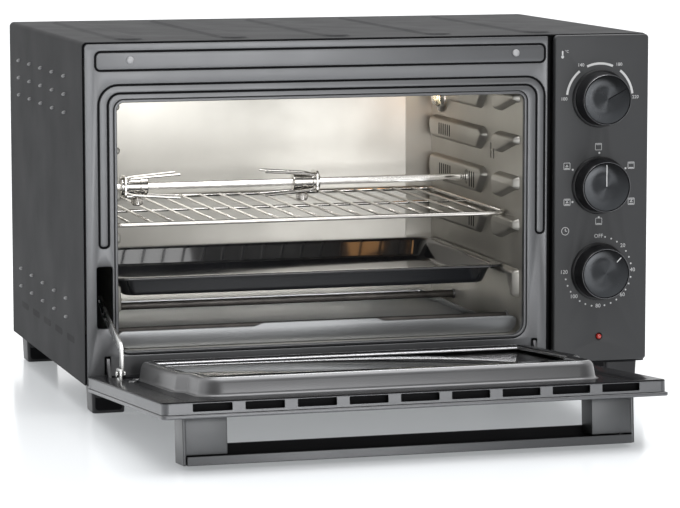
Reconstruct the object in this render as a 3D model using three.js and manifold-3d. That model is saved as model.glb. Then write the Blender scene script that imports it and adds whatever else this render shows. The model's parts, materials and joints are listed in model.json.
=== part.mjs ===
// Countertop rotisserie oven with its drop-down door open: casing, cavity, heating rods, spit,
// racks, controls and door, one closed solid for each physical piece.
// Millimetres, +Z up. Pieces are laid out in the casing's frame: x from the left side, y from
// the front sheet towards the back, z from the surface the feet stand on.
import * as THREE from "three";
import { mergeVertices } from "three/addons/utils/BufferGeometryUtils.js";
import Module from "manifold-3d";

const wasm = await Module();
wasm.setup();

// ---------------------------------------------------------------- driving dimensions
const WIDTH = 480;
const DEPTH = 320;
const FOOT_HEIGHT = 23.5;
const TOP = 300;
const SHEET = 0.8;
const GAP = 0.3;
const COVER_RADIUS = 4;

const OPENING = { x0: 27.7, x1: 372, z0: 50, z1: 251.3 };
const FRONT_THICKNESS = 1.6;
const FRONT_RIGHT = 392.4;
const GROOVE_WIDTH = 1.6;
const GROOVE_DEPTH = 0.8;

const CAVITY = { x0: 27.7, x1: 372, y1: 256, z0: 50, z1: 270 };
const WALL = 0.6;
const GUIDE_REACH = 5.5;
const GUIDE_TOPS = [103.1, 146.1, 181.2, 215.5, 251.3];
const GUIDE_FRONT_HEIGHTS = [24, 11, 11.5, 8, 8.5];

const PANEL = { x0: 397.3, x1: 479.6, y0: -4, y1: 8, z0: 25.5, z1: 299.2 };
const KNOB_X = 436.6;
const KNOB_HEIGHTS = { temperature: 246.4, function: 173.9, timer: 101.4 };
const SHAFT_RADIUS = 3;
const LAMP_Z = 46.5;

const SPIT = { y: 137.7, z: 169.6, half: 3 };
const FORK_HUB = { radius: 7.5, length: 23 };
const FORK_REACH = 14.6;
const LEFT_FORK_X = 59.5;
const RIGHT_FORK_X = 233;

const ELEMENT = { radius: 3.3, lower: 60.5, upper: 254, rows: { upper: [75, 190], lower: [42, 188] } };

const HINGE = { y: -7, z: 28 };
const OPEN_ANGLE = THREE.MathUtils.degToRad(85.4);
const DOOR = { x0: 0.6, x1: 395.2, low: -4.5, high: 266, inner: 4, outer: -8.5 };
const RING = { x0: 35, x1: 364.6, low: 24.5, high: 221, top: 17, band: 12, step: 7 };
const PANE = { y0: 9.3, y1: 13.5 };
const HINGE_LUGS = [18.35, 381.6];
const HANDLE = { x0: 20.5, x1: 374.1, low: 219, high: 245, tip: -45 };

// ---------------------------------------------------------------- solids
function solid(geometry) {
  const bare = geometry.index ? geometry.toNonIndexed() : geometry.clone();
  bare.deleteAttribute("normal");
  bare.deleteAttribute("uv");
  const merged = mergeVertices(bare, 1e-4);
  const vertProperties = new Float32Array(merged.attributes.position.array);
  const triVerts = new Uint32Array(merged.index.array);
  return new wasm.Manifold(new wasm.Mesh({ numProp: 3, vertProperties, triVerts }));
}

function join(...pieces) {
  return pieces.reduce((sum, piece) => sum.add(piece));
}

function cut(body, ...tools) {
  return tools.reduce((rest, tool) => rest.subtract(tool), body);
}

function box(x0, x1, y0, y1, z0, z1) {
  const geometry = new THREE.BoxGeometry(x1 - x0, y1 - y0, z1 - z0);
  return solid(geometry.translate((x0 + x1) / 2, (y0 + y1) / 2, (z0 + z1) / 2));
}

// An outline extruded along one axis from start to end. Its plane is (x, z) for "y",
// (y, z) for "x" and (x, y) for "z".
function prism(shape, axis, start, end, curveSegments = 6) {
  const geometry = new THREE.ExtrudeGeometry(shape, {
    depth: end - start, bevelEnabled: false, curveSegments,
  });
  if (axis === "y") geometry.rotateX(Math.PI / 2).translate(0, end, 0);
  if (axis === "z") geometry.translate(0, 0, start);
  if (axis === "x") {
    const turn = new THREE.Matrix4().makeBasis(
      new THREE.Vector3(0, 1, 0), new THREE.Vector3(0, 0, 1), new THREE.Vector3(1, 0, 0));
    geometry.applyMatrix4(turn).translate(start, 0, 0);
  }
  return solid(geometry);
}

// A cylinder along an axis through a point given by its two other coordinates.
function rod(axis, a, b, radius, start, end, sides = 16) {
  const geometry = new THREE.CylinderGeometry(radius, radius, end - start, sides);
  const middle = (start + end) / 2;
  if (axis === "x") geometry.rotateZ(Math.PI / 2).translate(middle, a, b);
  if (axis === "y") geometry.translate(a, middle, b);
  if (axis === "z") geometry.rotateX(Math.PI / 2).translate(a, b, middle);
  return solid(geometry);
}

// A profile of [radius, height] points turned about an axis. Height runs along +axis.
function turned(profile, axis, place, segments = 36) {
  const points = profile.map(([r, h]) => new THREE.Vector2(r, h));
  const geometry = new THREE.LatheGeometry(points, segments);
  if (axis === "x") geometry.rotateZ(-Math.PI / 2);
  if (axis === "-y") geometry.rotateX(Math.PI);
  if (axis === "z") geometry.rotateX(Math.PI / 2);
  if (axis === "-z") geometry.rotateX(-Math.PI / 2);
  return solid(geometry.translate(...place));
}

function outline(points) {
  return new THREE.Shape(points.map(([u, v]) => new THREE.Vector2(u, v)));
}

// A rectangle with one radius at its lower corners and one at its upper corners.
function roundRect(u0, u1, v0, v1, low, high = low, Kind = THREE.Shape) {
  const shape = new Kind();
  shape.moveTo(u0 + low, v0);
  shape.lineTo(u1 - low, v0);
  if (low) shape.absarc(u1 - low, v0 + low, low, -Math.PI / 2, 0);
  shape.lineTo(u1, v1 - high);
  if (high) shape.absarc(u1 - high, v1 - high, high, 0, Math.PI / 2);
  shape.lineTo(u0 + high, v1);
  if (high) shape.absarc(u0 + high, v1 - high, high, Math.PI / 2, Math.PI);
  shape.lineTo(u0, v0 + low);
  if (low) shape.absarc(u0 + low, v0 + low, low, Math.PI, Math.PI * 1.5);
  return shape;
}

// Rounded rectangles [x0, x1, y0, y1, radius, z] joined in order into one closed skin,
// with a flat cap on the first and the last.
function loft(sections, arcSteps = 4) {
  const rings = sections.map(([x0, x1, y0, y1, r, z]) => {
    const corners = [[x1 - r, y0 + r, -0.5], [x1 - r, y1 - r, 0], [x0 + r, y1 - r, 0.5],
      [x0 + r, y0 + r, 1]];
    const ring = [];
    for (const [cx, cy, turn] of corners) {
      for (let i = 0; i <= arcSteps; i += 1) {
        const angle = Math.PI * (turn + (i / arcSteps) * 0.5);
        ring.push([cx + r * Math.cos(angle), cy + r * Math.sin(angle), z]);
      }
    }
    return ring;
  });
  const count = rings[0].length;
  const positions = rings.flat(2);
  const index = [];
  for (let k = 0; k + 1 < rings.length; k += 1) {
    for (let i = 0; i < count; i += 1) {
      const a = k * count + i;
      const b = k * count + ((i + 1) % count);
      index.push(a, b, b + count, a, b + count, a + count);
    }
  }
  const last = (rings.length - 1) * count;
  for (let i = 1; i + 1 < count; i += 1) {
    index.push(0, i + 1, i, last, last + i, last + i + 1);
  }
  const geometry = new THREE.BufferGeometry();
  geometry.setAttribute("position", new THREE.Float32BufferAttribute(positions, 3));
  geometry.setIndex(index);
  return solid(geometry);
}

// A round wire along a list of points, rounded at each bend. A closed one ends where it starts.
function wire(points, radius, bend, sides = 8, closed = false) {
  const corners = points.map((p) => new THREE.Vector3(...p));
  const stations = [];
  corners.forEach((corner, i) => {
    const before = corners.at(i - 1);
    const after = corners[(i + 1) % corners.length];
    if (!closed && (i === 0 || i === corners.length - 1)) {
      stations.push(corner);
      return;
    }
    const start = corner.clone().add(before.clone().sub(corner).setLength(bend));
    const end = corner.clone().add(after.clone().sub(corner).setLength(bend));
    const curve = new THREE.QuadraticBezierCurve3(start, corner, end);
    stations.push(...curve.getPoints(4));
  });
  const count = stations.length;
  const up = new THREE.Vector3(0, 0, 1);
  const positions = stations.flatMap((point, i) => {
    const before = closed || i > 0 ? stations.at(i - 1) : point;
    const after = closed || i + 1 < count ? stations[(i + 1) % count] : point;
    const along = after.clone().sub(before).normalize();
    const across = new THREE.Vector3().crossVectors(up, along).normalize();
    const high = new THREE.Vector3().crossVectors(along, across);
    return Array.from({ length: sides }, (_, k) => {
      const angle = (2 * Math.PI * k) / sides;
      const offset = across.clone().multiplyScalar(radius * Math.cos(angle));
      return point.clone().add(offset.addScaledVector(high, radius * Math.sin(angle))).toArray();
    }).flat();
  });
  const index = [];
  for (let k = 0; k < (closed ? count : count - 1); k += 1) {
    const next = (k + 1) % count;
    for (let i = 0; i < sides; i += 1) {
      const j = (i + 1) % sides;
      const [a, b, c, d] = [k * sides + i, k * sides + j, next * sides + j, next * sides + i];
      index.push(a, b, c, a, c, d);
    }
  }
  const last = (count - 1) * sides;
  for (let i = 1; !closed && i + 1 < sides; i += 1) {
    index.push(0, i + 1, i, last, last + i, last + i + 1);
  }
  const geometry = new THREE.BufferGeometry();
  geometry.setAttribute("position", new THREE.Float32BufferAttribute(positions, 3));
  geometry.setIndex(index);
  return solid(geometry);
}

// ---------------------------------------------------------------- scene graph
const oven = new THREE.Group();
const casing = new THREE.Group();
const door = new THREE.Group();
door.position.set(0, HINGE.y, HINGE.z);
door.rotation.x = OPEN_ANGLE;
casing.add(door);
oven.add(casing);

const finishes = {
  cover: [0x3c3d3f, 0.55, 0.6],
  front: [0x6a6b6d, 0.42, 0.7],
  liner: [0xb4ada0, 0.35, 0.8],
  enamel: [0x1b1c1e, 0.3, 0.4],
  chrome: [0xd8d8d8, 0.15, 1],
  steel: [0x9a9a98, 0.35, 0.9],
  rod: [0x2a2a2b, 0.6, 0.6],
  plastic: [0x2b2c2d, 0.5, 0],
  metal_handle: [0x55575a, 0.4, 0.7],
  knob: [0x3a3b3d, 0.35, 0.8],
  inside: [0x8a8c8e, 0.6, 0.4],
  ceramic: [0xd9d4c6, 0.7, 0],
  lens: [0xd02020, 0.2, 0],
  glass: [0x7f8a8f, 0.05, 0],
  lamp: [0xfff0c8, 0.2, 0],
};
const materials = Object.fromEntries(Object.entries(finishes).map(
  ([name, [color, roughness, metalness]]) => [
    name, new THREE.MeshStandardMaterial({ name, color, roughness, metalness }),
  ]));

function add(group, name, finish, body) {
  const { vertProperties, triVerts, numProp } = body.getMesh();
  const geometry = new THREE.BufferGeometry();
  const attribute = new THREE.BufferAttribute(new Float32Array(vertProperties), numProp);
  geometry.setAttribute("position", attribute);
  geometry.setIndex(new THREE.BufferAttribute(new Uint32Array(triVerts), 1));
  geometry.computeVertexNormals();
  const mesh = new THREE.Mesh(geometry, materials[finish]);
  mesh.name = name;
  group.add(mesh);
}

// ---------------------------------------------------------------- casing
// One sheet bent over both sides and the top, with pressed ribs on the top and a row of
// vent slots low on each side.
function outerCover() {
  const start = FRONT_THICKNESS + GAP;
  const bent = roundRect(0, WIDTH, FOOT_HEIGHT, TOP, 0, COVER_RADIUS);
  const hollow = roundRect(SHEET, WIDTH - SHEET, FOOT_HEIGHT - SHEET, TOP - SHEET, 0,
    COVER_RADIUS - SHEET);
  let cover = cut(prism(bent, "y", start, DEPTH), prism(hollow, "y", start - 1, DEPTH + 1));
  for (let i = 0; i < 5; i += 1) {
    const x = 45 + 87 * i;
    cover = join(cover, loft([
      [x - 11, x + 11, 34, DEPTH - 34, 9, TOP - 0.5],
      [x - 11, x + 11, 34, DEPTH - 34, 9, TOP],
      [x - 9, x + 9, 36, DEPTH - 36, 8, TOP + 1],
    ], 3));
    const y = 59 + 50.4 * i;
    const slot = roundRect(y - 15, y + 15, 51.5, 57, 2.5);
    cover = cut(cover, prism(slot, "x", -1, WIDTH + 1, 3));
  }
  return cover;
}

// Flat steel back with a field of vent slots and a round hole for the mains lead.
const GLAND = { x: 430, z: 62, radius: 8 };
function backPanel() {
  const sheet = box(1.3, WIDTH - 1.3, DEPTH - 4, DEPTH - 3, 25.2, TOP - 1.3);
  const corners = box(-1, 10, DEPTH - 5, DEPTH, TOP - 10, TOP + 1);
  const otherCorner = box(WIDTH - 10, WIDTH + 1, DEPTH - 5, DEPTH, TOP - 10, TOP + 1);
  let panel = cut(sheet, corners, otherCorner,
    rod("y", GLAND.x, GLAND.z, GLAND.radius + 0.5, DEPTH - 6, DEPTH, 24));
  for (let row = 0; row < 3; row += 1) {
    for (let column = 0; column < 6; column += 1) {
      const x = 90 + 56 * column;
      const z = 215 + 18 * row;
      panel = cut(panel, box(x - 18, x + 18, DEPTH - 5, DEPTH, z - 2.5, z + 2.5));
    }
  }
  return panel;
}

function cordGland() {
  return turned([[4.2, 0], [GLAND.radius, 0], [GLAND.radius, 2.4], [10.5, 2.4], [10.5, 4.6],
    [4.2, 4.6], [4.2, 0]].map(([r, h]) => [r, -h]).reverse(),
  "-y", [GLAND.x, DEPTH - 5, GLAND.z], 20);
}

function basePlate() {
  let plate = box(1.3, WIDTH - 1.3, FRONT_THICKNESS + GAP, DEPTH - 4.3, FOOT_HEIGHT,
    FOOT_HEIGHT + SHEET);
  for (let i = 0; i < 4; i += 1) {
    const x = 110 + 80 * i;
    plate = cut(plate, box(x - 3, x + 3, 120, 200, FOOT_HEIGHT - 1, FOOT_HEIGHT + 2));
  }
  return plate;
}

// A closed band of the groove's width just inside a rounded rectangle.
function grooveHole(u0, u1, v0, v1, low, high) {
  const band = prism(roundRect(u0, u1, v0, v1, low, high), "y", -1, GROOVE_DEPTH, 5);
  const w = GROOVE_WIDTH;
  const core = roundRect(u0 + w, u1 - w, v0 + w, v1 - w, Math.max(low - w, 0.5),
    Math.max(high - w, 0.5));
  return cut(band, prism(core, "y", -2, GROOVE_DEPTH + 1, 5));
}

// The outline of the band that arches over the opening, with rounded ends at both feet.
function archOutline(inset) {
  const outer = { x0: 11.8 + inset, x1: 390.4 - inset, top: 266.3 - inset, r: 17 - inset };
  const inner = { x0: 21.2 - inset, x1: 381.6 + inset, top: 257.9 + inset, r: 9 + inset };
  const foot = 134 + inset;
  const r = 4 - inset;
  const arch = new THREE.Shape();
  arch.moveTo(outer.x0 + r, foot);
  arch.lineTo(inner.x0 - r, foot);
  arch.absarc(inner.x0 - r, foot + r, r, -Math.PI / 2, 0);
  arch.lineTo(inner.x0, inner.top - inner.r);
  arch.absarc(inner.x0 + inner.r, inner.top - inner.r, inner.r, Math.PI, Math.PI / 2, true);
  arch.lineTo(inner.x1 - inner.r, inner.top);
  arch.absarc(inner.x1 - inner.r, inner.top - inner.r, inner.r, Math.PI / 2, 0, true);
  arch.lineTo(inner.x1, foot + r);
  arch.absarc(inner.x1 + r, foot + r, r, Math.PI, Math.PI * 1.5);
  arch.lineTo(outer.x1 - r, foot);
  arch.absarc(outer.x1 - r, foot + r, r, -Math.PI / 2, 0);
  arch.lineTo(outer.x1, outer.top - outer.r);
  arch.absarc(outer.x1 - outer.r, outer.top - outer.r, outer.r, 0, Math.PI / 2);
  arch.lineTo(outer.x0 + outer.r, outer.top);
  arch.absarc(outer.x0 + outer.r, outer.top - outer.r, outer.r, Math.PI / 2, Math.PI);
  arch.lineTo(outer.x0, foot + r);
  arch.absarc(outer.x0 + r, foot + r, r, Math.PI, Math.PI * 1.5);
  return arch;
}

const STAY_SLOT = { x0: 9.9, x1: 23.2, z0: 69.3, z1: 119.7 };
const LUG_SLOT = { half: 2.5, z0: 31.7, z1: 46.6 };
const FRAME_SCREWS = [38.9, 364.1];
const FRAME_SCREW_Z = 285.3;

// Pressed front sheet: cavity opening, stay slot, hinge lug slots, pressed grooves, and at
// its right edge a return that drops back to a channel beside the control panel.
function frontFrame() {
  const sheet = roundRect(0, FRONT_RIGHT, FOOT_HEIGHT, TOP, 0, 0);
  sheet.holes.push(
    roundRect(OPENING.x0, OPENING.x1, OPENING.z0, OPENING.z1, 10, 6, THREE.Path),
    roundRect(STAY_SLOT.x0, STAY_SLOT.x1, STAY_SLOT.z0, STAY_SLOT.z1, 2, 2, THREE.Path));
  const corner = cut(box(-1, COVER_RADIUS, -1, 3, TOP - COVER_RADIUS, TOP + 1),
    rod("y", COVER_RADIUS, TOP - COVER_RADIUS, COVER_RADIUS, -2, 4, 24));
  const lugSlots = HINGE_LUGS.map((x) => box(
    x - LUG_SLOT.half, x + LUG_SLOT.half, -1, 3, LUG_SLOT.z0, LUG_SLOT.z1));
  const screwHoles = FRAME_SCREWS.map((x) => rod("y", x, FRAME_SCREW_Z, 2.2, -1, 3, 12));
  const arch = cut(prism(archOutline(0), "y", -1, GROOVE_DEPTH, 5),
    prism(archOutline(GROOVE_WIDTH), "y", -2, GROOVE_DEPTH + 1, 5));
  const face = cut(prism(sheet, "y", 0, FRONT_THICKNESS, 5), corner, ...lugSlots,
    ...screwHoles, grooveHole(9.6, 390.4, 276.3, 293, 5, 5), arch);
  const back = FRONT_RIGHT - FRONT_THICKNESS;
  const sideWall = box(back, FRONT_RIGHT, FRONT_THICKNESS - 0.5, 10, FOOT_HEIGHT + 2, TOP - 2);
  const channel = box(back, 402, PANEL.y1 + GAP, 10, FOOT_HEIGHT + 2, TOP - 2);
  return join(face, sideWall, channel);
}

function frameScrew(x) {
  return turned([[0, -1.2], [1.9, -1.2], [1.9, GAP], [3, GAP], [2.6, 1.3], [0, 1.7]],
    "-y", [x, 0, FRAME_SCREW_Z], 16);
}

// The pressed box of the control panel, open at the back.
function controlPanel() {
  const { x0, x1, y0, y1, z0, z1 } = PANEL;
  const front = loft([
    [x0 + 1.2, x1 - 1.2, z0 + 1.2, z1 - 1.2, 2.5, -y0],
    [x0 + 0.3, x1 - 0.3, z0 + 0.3, z1 - 0.3, 2.8, -y0 - 0.4],
    [x0, x1, z0, z1, 3, -y0 - 1.4],
    [x0, x1, z0, z1, 3, -FRONT_THICKNESS],
  ].reverse(), 3);
  const skirt = box(x0, x1 - 4, FRONT_THICKNESS - 0.5, y1, z0 + 2, z1 - 4.5);
  const upright = join(front.rotate([90, 0, 0]), skirt);
  const hollow = prism(roundRect(x0 + 2, x1 - 2, z0 + 2, z1 - 2, 1.5), "y", y0 + 2.2,
    FRONT_THICKNESS + 1, 3);
  const skirtHollow = box(x0 + 1.5, x1 - 5.5, y0 + 2.2, y1 + 1, z0 + 3.5, z1 - 6);
  const holes = Object.values(KNOB_HEIGHTS).map(
    (z) => rod("y", KNOB_X, z, SHAFT_RADIUS + 0.6, y0 - 1, y0 + 4, 16));
  return cut(upright, hollow, skirtHollow, ...holes,
    rod("y", KNOB_X + 1, LAMP_Z, 2.6, y0 - 1, y0 + 4, 16));
}

function indicatorLens() {
  return turned([[0, -3], [2.2, -3], [2.2, 0.2], [1.7, 1.1], [0.9, 1.6], [0, 1.8]],
    "-y", [KNOB_X + 1, PANEL.y0, LAMP_Z], 20);
}

// Moulded foot, tapered towards the surface and hollow from below.
function foot(x, y) {
  const high = FOOT_HEIGHT - GAP;
  const body = loft([
    [x + 1, x + 27.5, y + 1, y + 25, 3, 0],
    [x, x + 28.5, y, y + 26, 3, high],
  ], 3);
  return cut(body, loft([
    [x + 5, x + 23.5, y + 5, y + 21, 2, -1],
    [x + 5, x + 23.5, y + 5, y + 21, 2, 16],
  ], 2));
}

// ---------------------------------------------------------------- cavity
// One pressed pad of a rack guide, as a side outline: level on top, so that a rack runs
// along it, and sloped below. The highest one ends short of the lamp.
function guideOutlines(level) {
  const top = GUIDE_TOPS[level];
  const low = top - GUIDE_FRONT_HEIGHTS[level];
  const rear = level === GUIDE_TOPS.length - 1 ? 200 : 250;
  if (level === 0) {
    return [
      outline([[12, low], [22, low], [34, top - 7], [236, top - 7], [246, top], [12, top]]),
    ];
  }
  return [
    outline([[12, low], [20, low], [58, low - 10], [70, low - 10], [74, top - 5],
      [66, top], [12, top]]),
    outline([[96, top - 6], [112, low - 12], [rear - 6, low - 12], [rear, low],
      [rear - 4, top], [104, top]]),
  ];
}

function sideWall(side) {
  const left = side === "left";
  const face = left ? CAVITY.x0 : CAVITY.x1;
  const inward = left ? 1 : -1;
  const span = (a, b) => [face + inward * a, face + inward * b].sort((p, q) => p - q);
  let wall = box(...span(-WALL, 0), 2.2, CAVITY.y1 - GAP, CAVITY.z0 - 4, CAVITY.z1);
  for (let level = 0; level < GUIDE_TOPS.length; level += 1) {
    for (const shape of guideOutlines(level)) {
      wall = join(wall, prism(shape, "x", ...span(-0.4, GUIDE_REACH)));
    }
  }
  const rods = ["lower", "upper"].flatMap((level) => ELEMENT.rows[level].map(
    (y) => rod("x", y, ELEMENT[level], ELEMENT.radius + 0.5, ...span(-3, 9), 12)));
  const rackBay = box(...span(-3, 9), 122, 154, 152, 188);
  const backing = box(...span(-WALL, 0), 121, 155, 151, 189);
  wall = join(cut(wall, ...rods, rackBay), backing);
  if (left) return wall;
  const vents = [];
  for (let i = 0; i < 6; i += 1) {
    vents.push(box(...span(-3, 9), 184 + 6 * i, 187 + 6 * i, 200, 210));
  }
  return cut(wall, ...vents, rod("x", SPIT.y, SPIT.z, 7.6, ...span(-3, 3), 24));
}

// Rear wall with a shallow pressed panel.
function rearWall() {
  const { x0, x1, y1, z0, z1 } = CAVITY;
  const depth = 7;
  const flat = box(x0 - WALL, x1 + WALL, y1, y1 + WALL, z0 - 4, z1);
  const pressed = (grow, from, to) => loft([
    [x0 + 24 - grow, x1 - 24 + grow, z0 + 26 - grow, z1 - 22 + grow, 10, -from],
    [x0 + 32 - grow, x1 - 32 + grow, z0 + 34 - grow, z1 - 30 + grow, 8, -to],
  ].reverse(), 3).rotate([90, 0, 0]);
  return cut(join(flat, pressed(WALL, y1 + 0.2, y1 + depth + WALL)),
    pressed(0, y1 - 0.2, y1 + depth));
}

function ceiling() {
  const { x0, x1, y1, z1 } = CAVITY;
  return box(x0 - WALL, x1 + WALL, 2.2, y1 + WALL, z1 + GAP, z1 + GAP + WALL);
}

function cavityFloor() {
  const { x0, x1, y1, z0 } = CAVITY;
  return box(x0 + GAP, x1 - GAP, 2.2, y1 - GAP, z0 - WALL, z0);
}

function heatingRod(y, z) {
  return rod("x", y, z, ELEMENT.radius, 19, 380, 16);
}

const LAMP = { y: 226, z: 233 };
function ovenLamp() {
  return join(rod("x", LAMP.y, LAMP.z, 8, CAVITY.x1 + 1.4, CAVITY.x1 + 26, 20),
    rod("x", LAMP.y, LAMP.z, 6, CAVITY.x1 + 26, CAVITY.x1 + 34, 20));
}

function lampCover() {
  return turned([[14, 0.3], [14, 2.2], [10.5, 3], [9.5, 6], [6.5, 8.4], [0, 9.4], [0, 8.2],
    [6, 7.3], [8.5, 5.4], [9.3, 2.2], [9.3, 0.3], [14, 0.3]].map(([r, h]) => [r, -h]).reverse(),
  "x", [CAVITY.x1, LAMP.y, LAMP.z], 24);
}

// Shallow sheet tray: [half-open rim, wall, floor] built as one folded skin.
function pan(x0, x1, y0, y1, floor, rim, flange, slope, sheet) {
  const at = (inset, r, z) => [x0 + inset, x1 - inset, y0 + inset, y1 - inset, r, z];
  return loft([
    at(flange + slope, 10, floor),
    at(flange, 12, rim - sheet),
    at(0, 14, rim - sheet),
    at(0, 14, rim),
    at(flange + sheet, 11, rim),
    at(flange + slope + sheet, 9, floor + sheet),
  ]);
}

const RACK = { x0: 30.1, x1: 369.6, y0: 39, y1: 252, z: 148.4, radius: 1.9 };
// Chrome rack: a bent frame wire, a middle rail and a row of cross wires.
function wireRack() {
  const { x0, x1, y0, y1, z, radius } = RACK;
  const count = 18;
  let rack = wire([[x0, y0, z], [x1, y0, z], [x1, y1, z], [x0, y1, z]], radius, 12, 8, true);
  for (let i = 1; i <= count; i += 1) {
    const x = x0 + ((x1 - x0) * i) / (count + 1);
    rack = join(rack, rod("y", x, z + 0.4, 1.3, y0, y1, 6));
  }
  return join(rack, rod("x", (y0 + y1) / 2, z - 0.4, 1.3, x0, x1, 6));
}

const TRAY = { x0: 29, x1: 370.7, y0: 37, y1: 254, rim: 104.6, floor: 88 };
function bakingTray() {
  return pan(TRAY.x0, TRAY.x1, TRAY.y0, TRAY.y1, TRAY.floor, TRAY.rim, 9, 6, 1.2);
}

// Crumb tray that covers the cavity floor, with a rounded front lip raised in its middle.
const CRUMB = { x0: 29.5, x1: 370.2, y0: 13, y1: 250, z: 50.4, lip: 64.5 };
function crumbTray() {
  const { x0, x1, y0, y1, z, lip } = CRUMB;
  const rise = 2.5;
  const middle = (x0 + x1) / 2;
  const r = 9;
  const face = new THREE.Shape();
  face.moveTo(x0 + r, z);
  face.lineTo(x1 - r, z);
  face.absarc(x1 - r, z + r, r, -Math.PI / 2, 0);
  face.lineTo(x1, lip - r + 4);
  face.absarc(x1 - 5, lip - 5, 5, 0, Math.PI / 2);
  face.lineTo(middle + 58, lip);
  face.lineTo(middle + 46, lip + rise);
  face.lineTo(middle - 46, lip + rise);
  face.lineTo(middle - 58, lip);
  face.lineTo(x0 + 5, lip);
  face.absarc(x0 + 5, lip - 5, 5, Math.PI / 2, Math.PI);
  face.lineTo(x0, z + r);
  face.absarc(x0 + r, z + r, r, Math.PI, Math.PI * 1.5);
  const floor = box(x0 + r, x1 - r, y0 + 0.5, y1, z, z + SHEET);
  const back = box(x0 + r, x1 - r, y1 - SHEET, y1, z, z + 6);
  const sides = [x0 + r, x1 - r - SHEET].map(
    (x) => box(x, x + SHEET, y0 + 0.5, y1, z, z + 6));
  return join(prism(face, "y", y0, y0 + 1.2, 5), floor, back, ...sides);
}

// ---------------------------------------------------------------- rotisserie
function squareBar(half, x0, x1) {
  return box(x0, x1, SPIT.y - half, SPIT.y + half, SPIT.z - half, SPIT.z + half);
}

// Square bar, turned round at its left end, where it lies in the support's notch.
function spitShaft() {
  return join(squareBar(SPIT.half, 36, 376), rod("x", SPIT.y, SPIT.z, 2.6, 30, 37, 16));
}

function driveSocket() {
  const sleeve = rod("x", SPIT.y, SPIT.z, 7, 366.5, 379, 24);
  return cut(sleeve, squareBar(SPIT.half + GAP, 365, 376.3));
}

function rotisserieMotor() {
  const gearbox = box(379.6, 398, SPIT.y - 27, SPIT.y + 27, SPIT.z - 30, SPIT.z + 22);
  return join(gearbox, rod("x", SPIT.y, SPIT.z - 4, 19, 397.5, 414, 24));
}

// Stamped hook on the left wall whose open notch carries the round end of the spit.
function spitSupport() {
  const { y, z } = SPIT;
  const plate = outline([[y - 10, z - 15], [y + 10, z - 15], [y + 10, z + 9], [y + 3.1, z + 9],
    [y + 3.1, z - 0.8], [y + 2, z - 2.9], [y - 2, z - 2.9], [y - 3.1, z - 0.8],
    [y - 3.1, z + 9], [y - 10, z + 9]]);
  const flange = box(28, 29.2, y - 10, y + 10, z - 15, z - 6);
  return join(prism(plate, "x", 32, 33.4), flange, box(28, 33, y - 10, y + 10, z - 15, z - 13.8));
}

// Four-pronged meat fork: a hub with a square bore, a square end plate and splayed prongs.
function fork(x, direction) {
  const { y, z } = SPIT;
  const along = (d) => x + direction * d;
  const span = (a, b) => [along(a), along(b)].sort((p, q) => p - q);
  const hub = rod("x", y, z, FORK_HUB.radius, ...span(0, FORK_HUB.length), 20);
  const plate = prism(roundRect(y - 9.4, y + 9.4, z - 9.4, z + 9.4, 2), "x", ...span(2, 4), 2);
  let body = join(hub, plate);
  for (const [sy, sz] of [[1, 1], [1, -1], [-1, 1], [-1, -1]]) {
    const start = [along(2.6), y + sy * 8, z + sz * 8];
    const knee = [along(30), y + sy * 8, z + sz * 8];
    const tip = FORK_REACH / Math.SQRT2;
    const end = [along(50), y + sy * tip, z + sz * tip];
    body = join(body, wire([start, knee, end], 1.1, 5, 6));
  }
  const screwHole = rod("z", along(FORK_HUB.length / 2 + 3), y, 2.3, z - 12, z, 12);
  return cut(body, squareBar(SPIT.half + 0.4, ...span(-1, 60)), screwHole);
}

function thumbscrew(x) {
  return turned([[0, 3.8], [2, 3.8], [2, 9], [4.6, 9.4], [5, 10.2], [5, 15.4], [4.4, 16.2],
    [0, 16.2]], "-z", [x, SPIT.y, SPIT.z], 16);
}

// ---------------------------------------------------------------- controls
function knob(z) {
  const profile = [[3.4, 0.4], [24.3, 0.4], [24.3, 1.9], [22, 2.4], [21.6, 17.6], [21, 18.8],
    [20.2, 18.8], [19.8, 18.2], [0, 18.2], [0, 12.6], [3.4, 12.6], [3.4, 0.4]];
  return turned(profile, "-y", [KNOB_X, PANEL.y0, z], 32);
}

function shaft(z) {
  return rod("y", KNOB_X, z, SHAFT_RADIUS, PANEL.y0 - 12.2, 18, 16);
}

function mechanism(z, halfWidth, halfHeight, depth) {
  const start = PANEL.y0 + 2.2 + GAP;
  const body = box(KNOB_X - halfWidth, KNOB_X + halfWidth, start, start + depth,
    z - halfHeight, z + halfHeight);
  return cut(body, rod("y", KNOB_X, z, SHAFT_RADIUS + GAP, start - 1, 18.4, 16));
}

// ---------------------------------------------------------------- door, in its own frame
// x across, y towards the cavity and z up the closed door, from the hinge axis.
function ringOutline(inset, Kind = THREE.Shape) {
  const { x0, x1, low, high, step } = RING;
  const r = 13 - inset * 0.6;
  const wide = 18 - inset * 0.6;
  const shape = new Kind();
  shape.moveTo(x0 + inset + r, low + inset);
  shape.lineTo(x1 - inset - r, low + inset);
  shape.absarc(x1 - inset - r, low + inset + r, r, -Math.PI / 2, 0);
  shape.lineTo(x1 - inset, 160);
  shape.lineTo(x1 - inset - step, 172);
  shape.lineTo(x1 - inset - step, high - inset - wide);
  shape.absarc(x1 - inset - step - wide, high - inset - wide, wide, 0, Math.PI / 2);
  shape.lineTo(x0 + inset + step + wide, high - inset);
  shape.absarc(x0 + inset + step + wide, high - inset - wide, wide, Math.PI / 2, Math.PI);
  shape.lineTo(x0 + inset + step, 172);
  shape.lineTo(x0 + inset, 160);
  shape.lineTo(x0 + inset, low + inset + r);
  shape.absarc(x0 + inset + r, low + inset + r, r, Math.PI, Math.PI * 1.5);
  return shape;
}

function tube(outer, inner, y0, y1) {
  return cut(prism(outer, "y", y0, y1, 3), prism(inner, "y", y0 - 1, y1 + 1, 3));
}

const STAY = { x: 15.2, s: 52, n: 9 };
const STAY_SCREWS = [[21.4, 72.6], [28.4, 54.7]];

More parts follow.
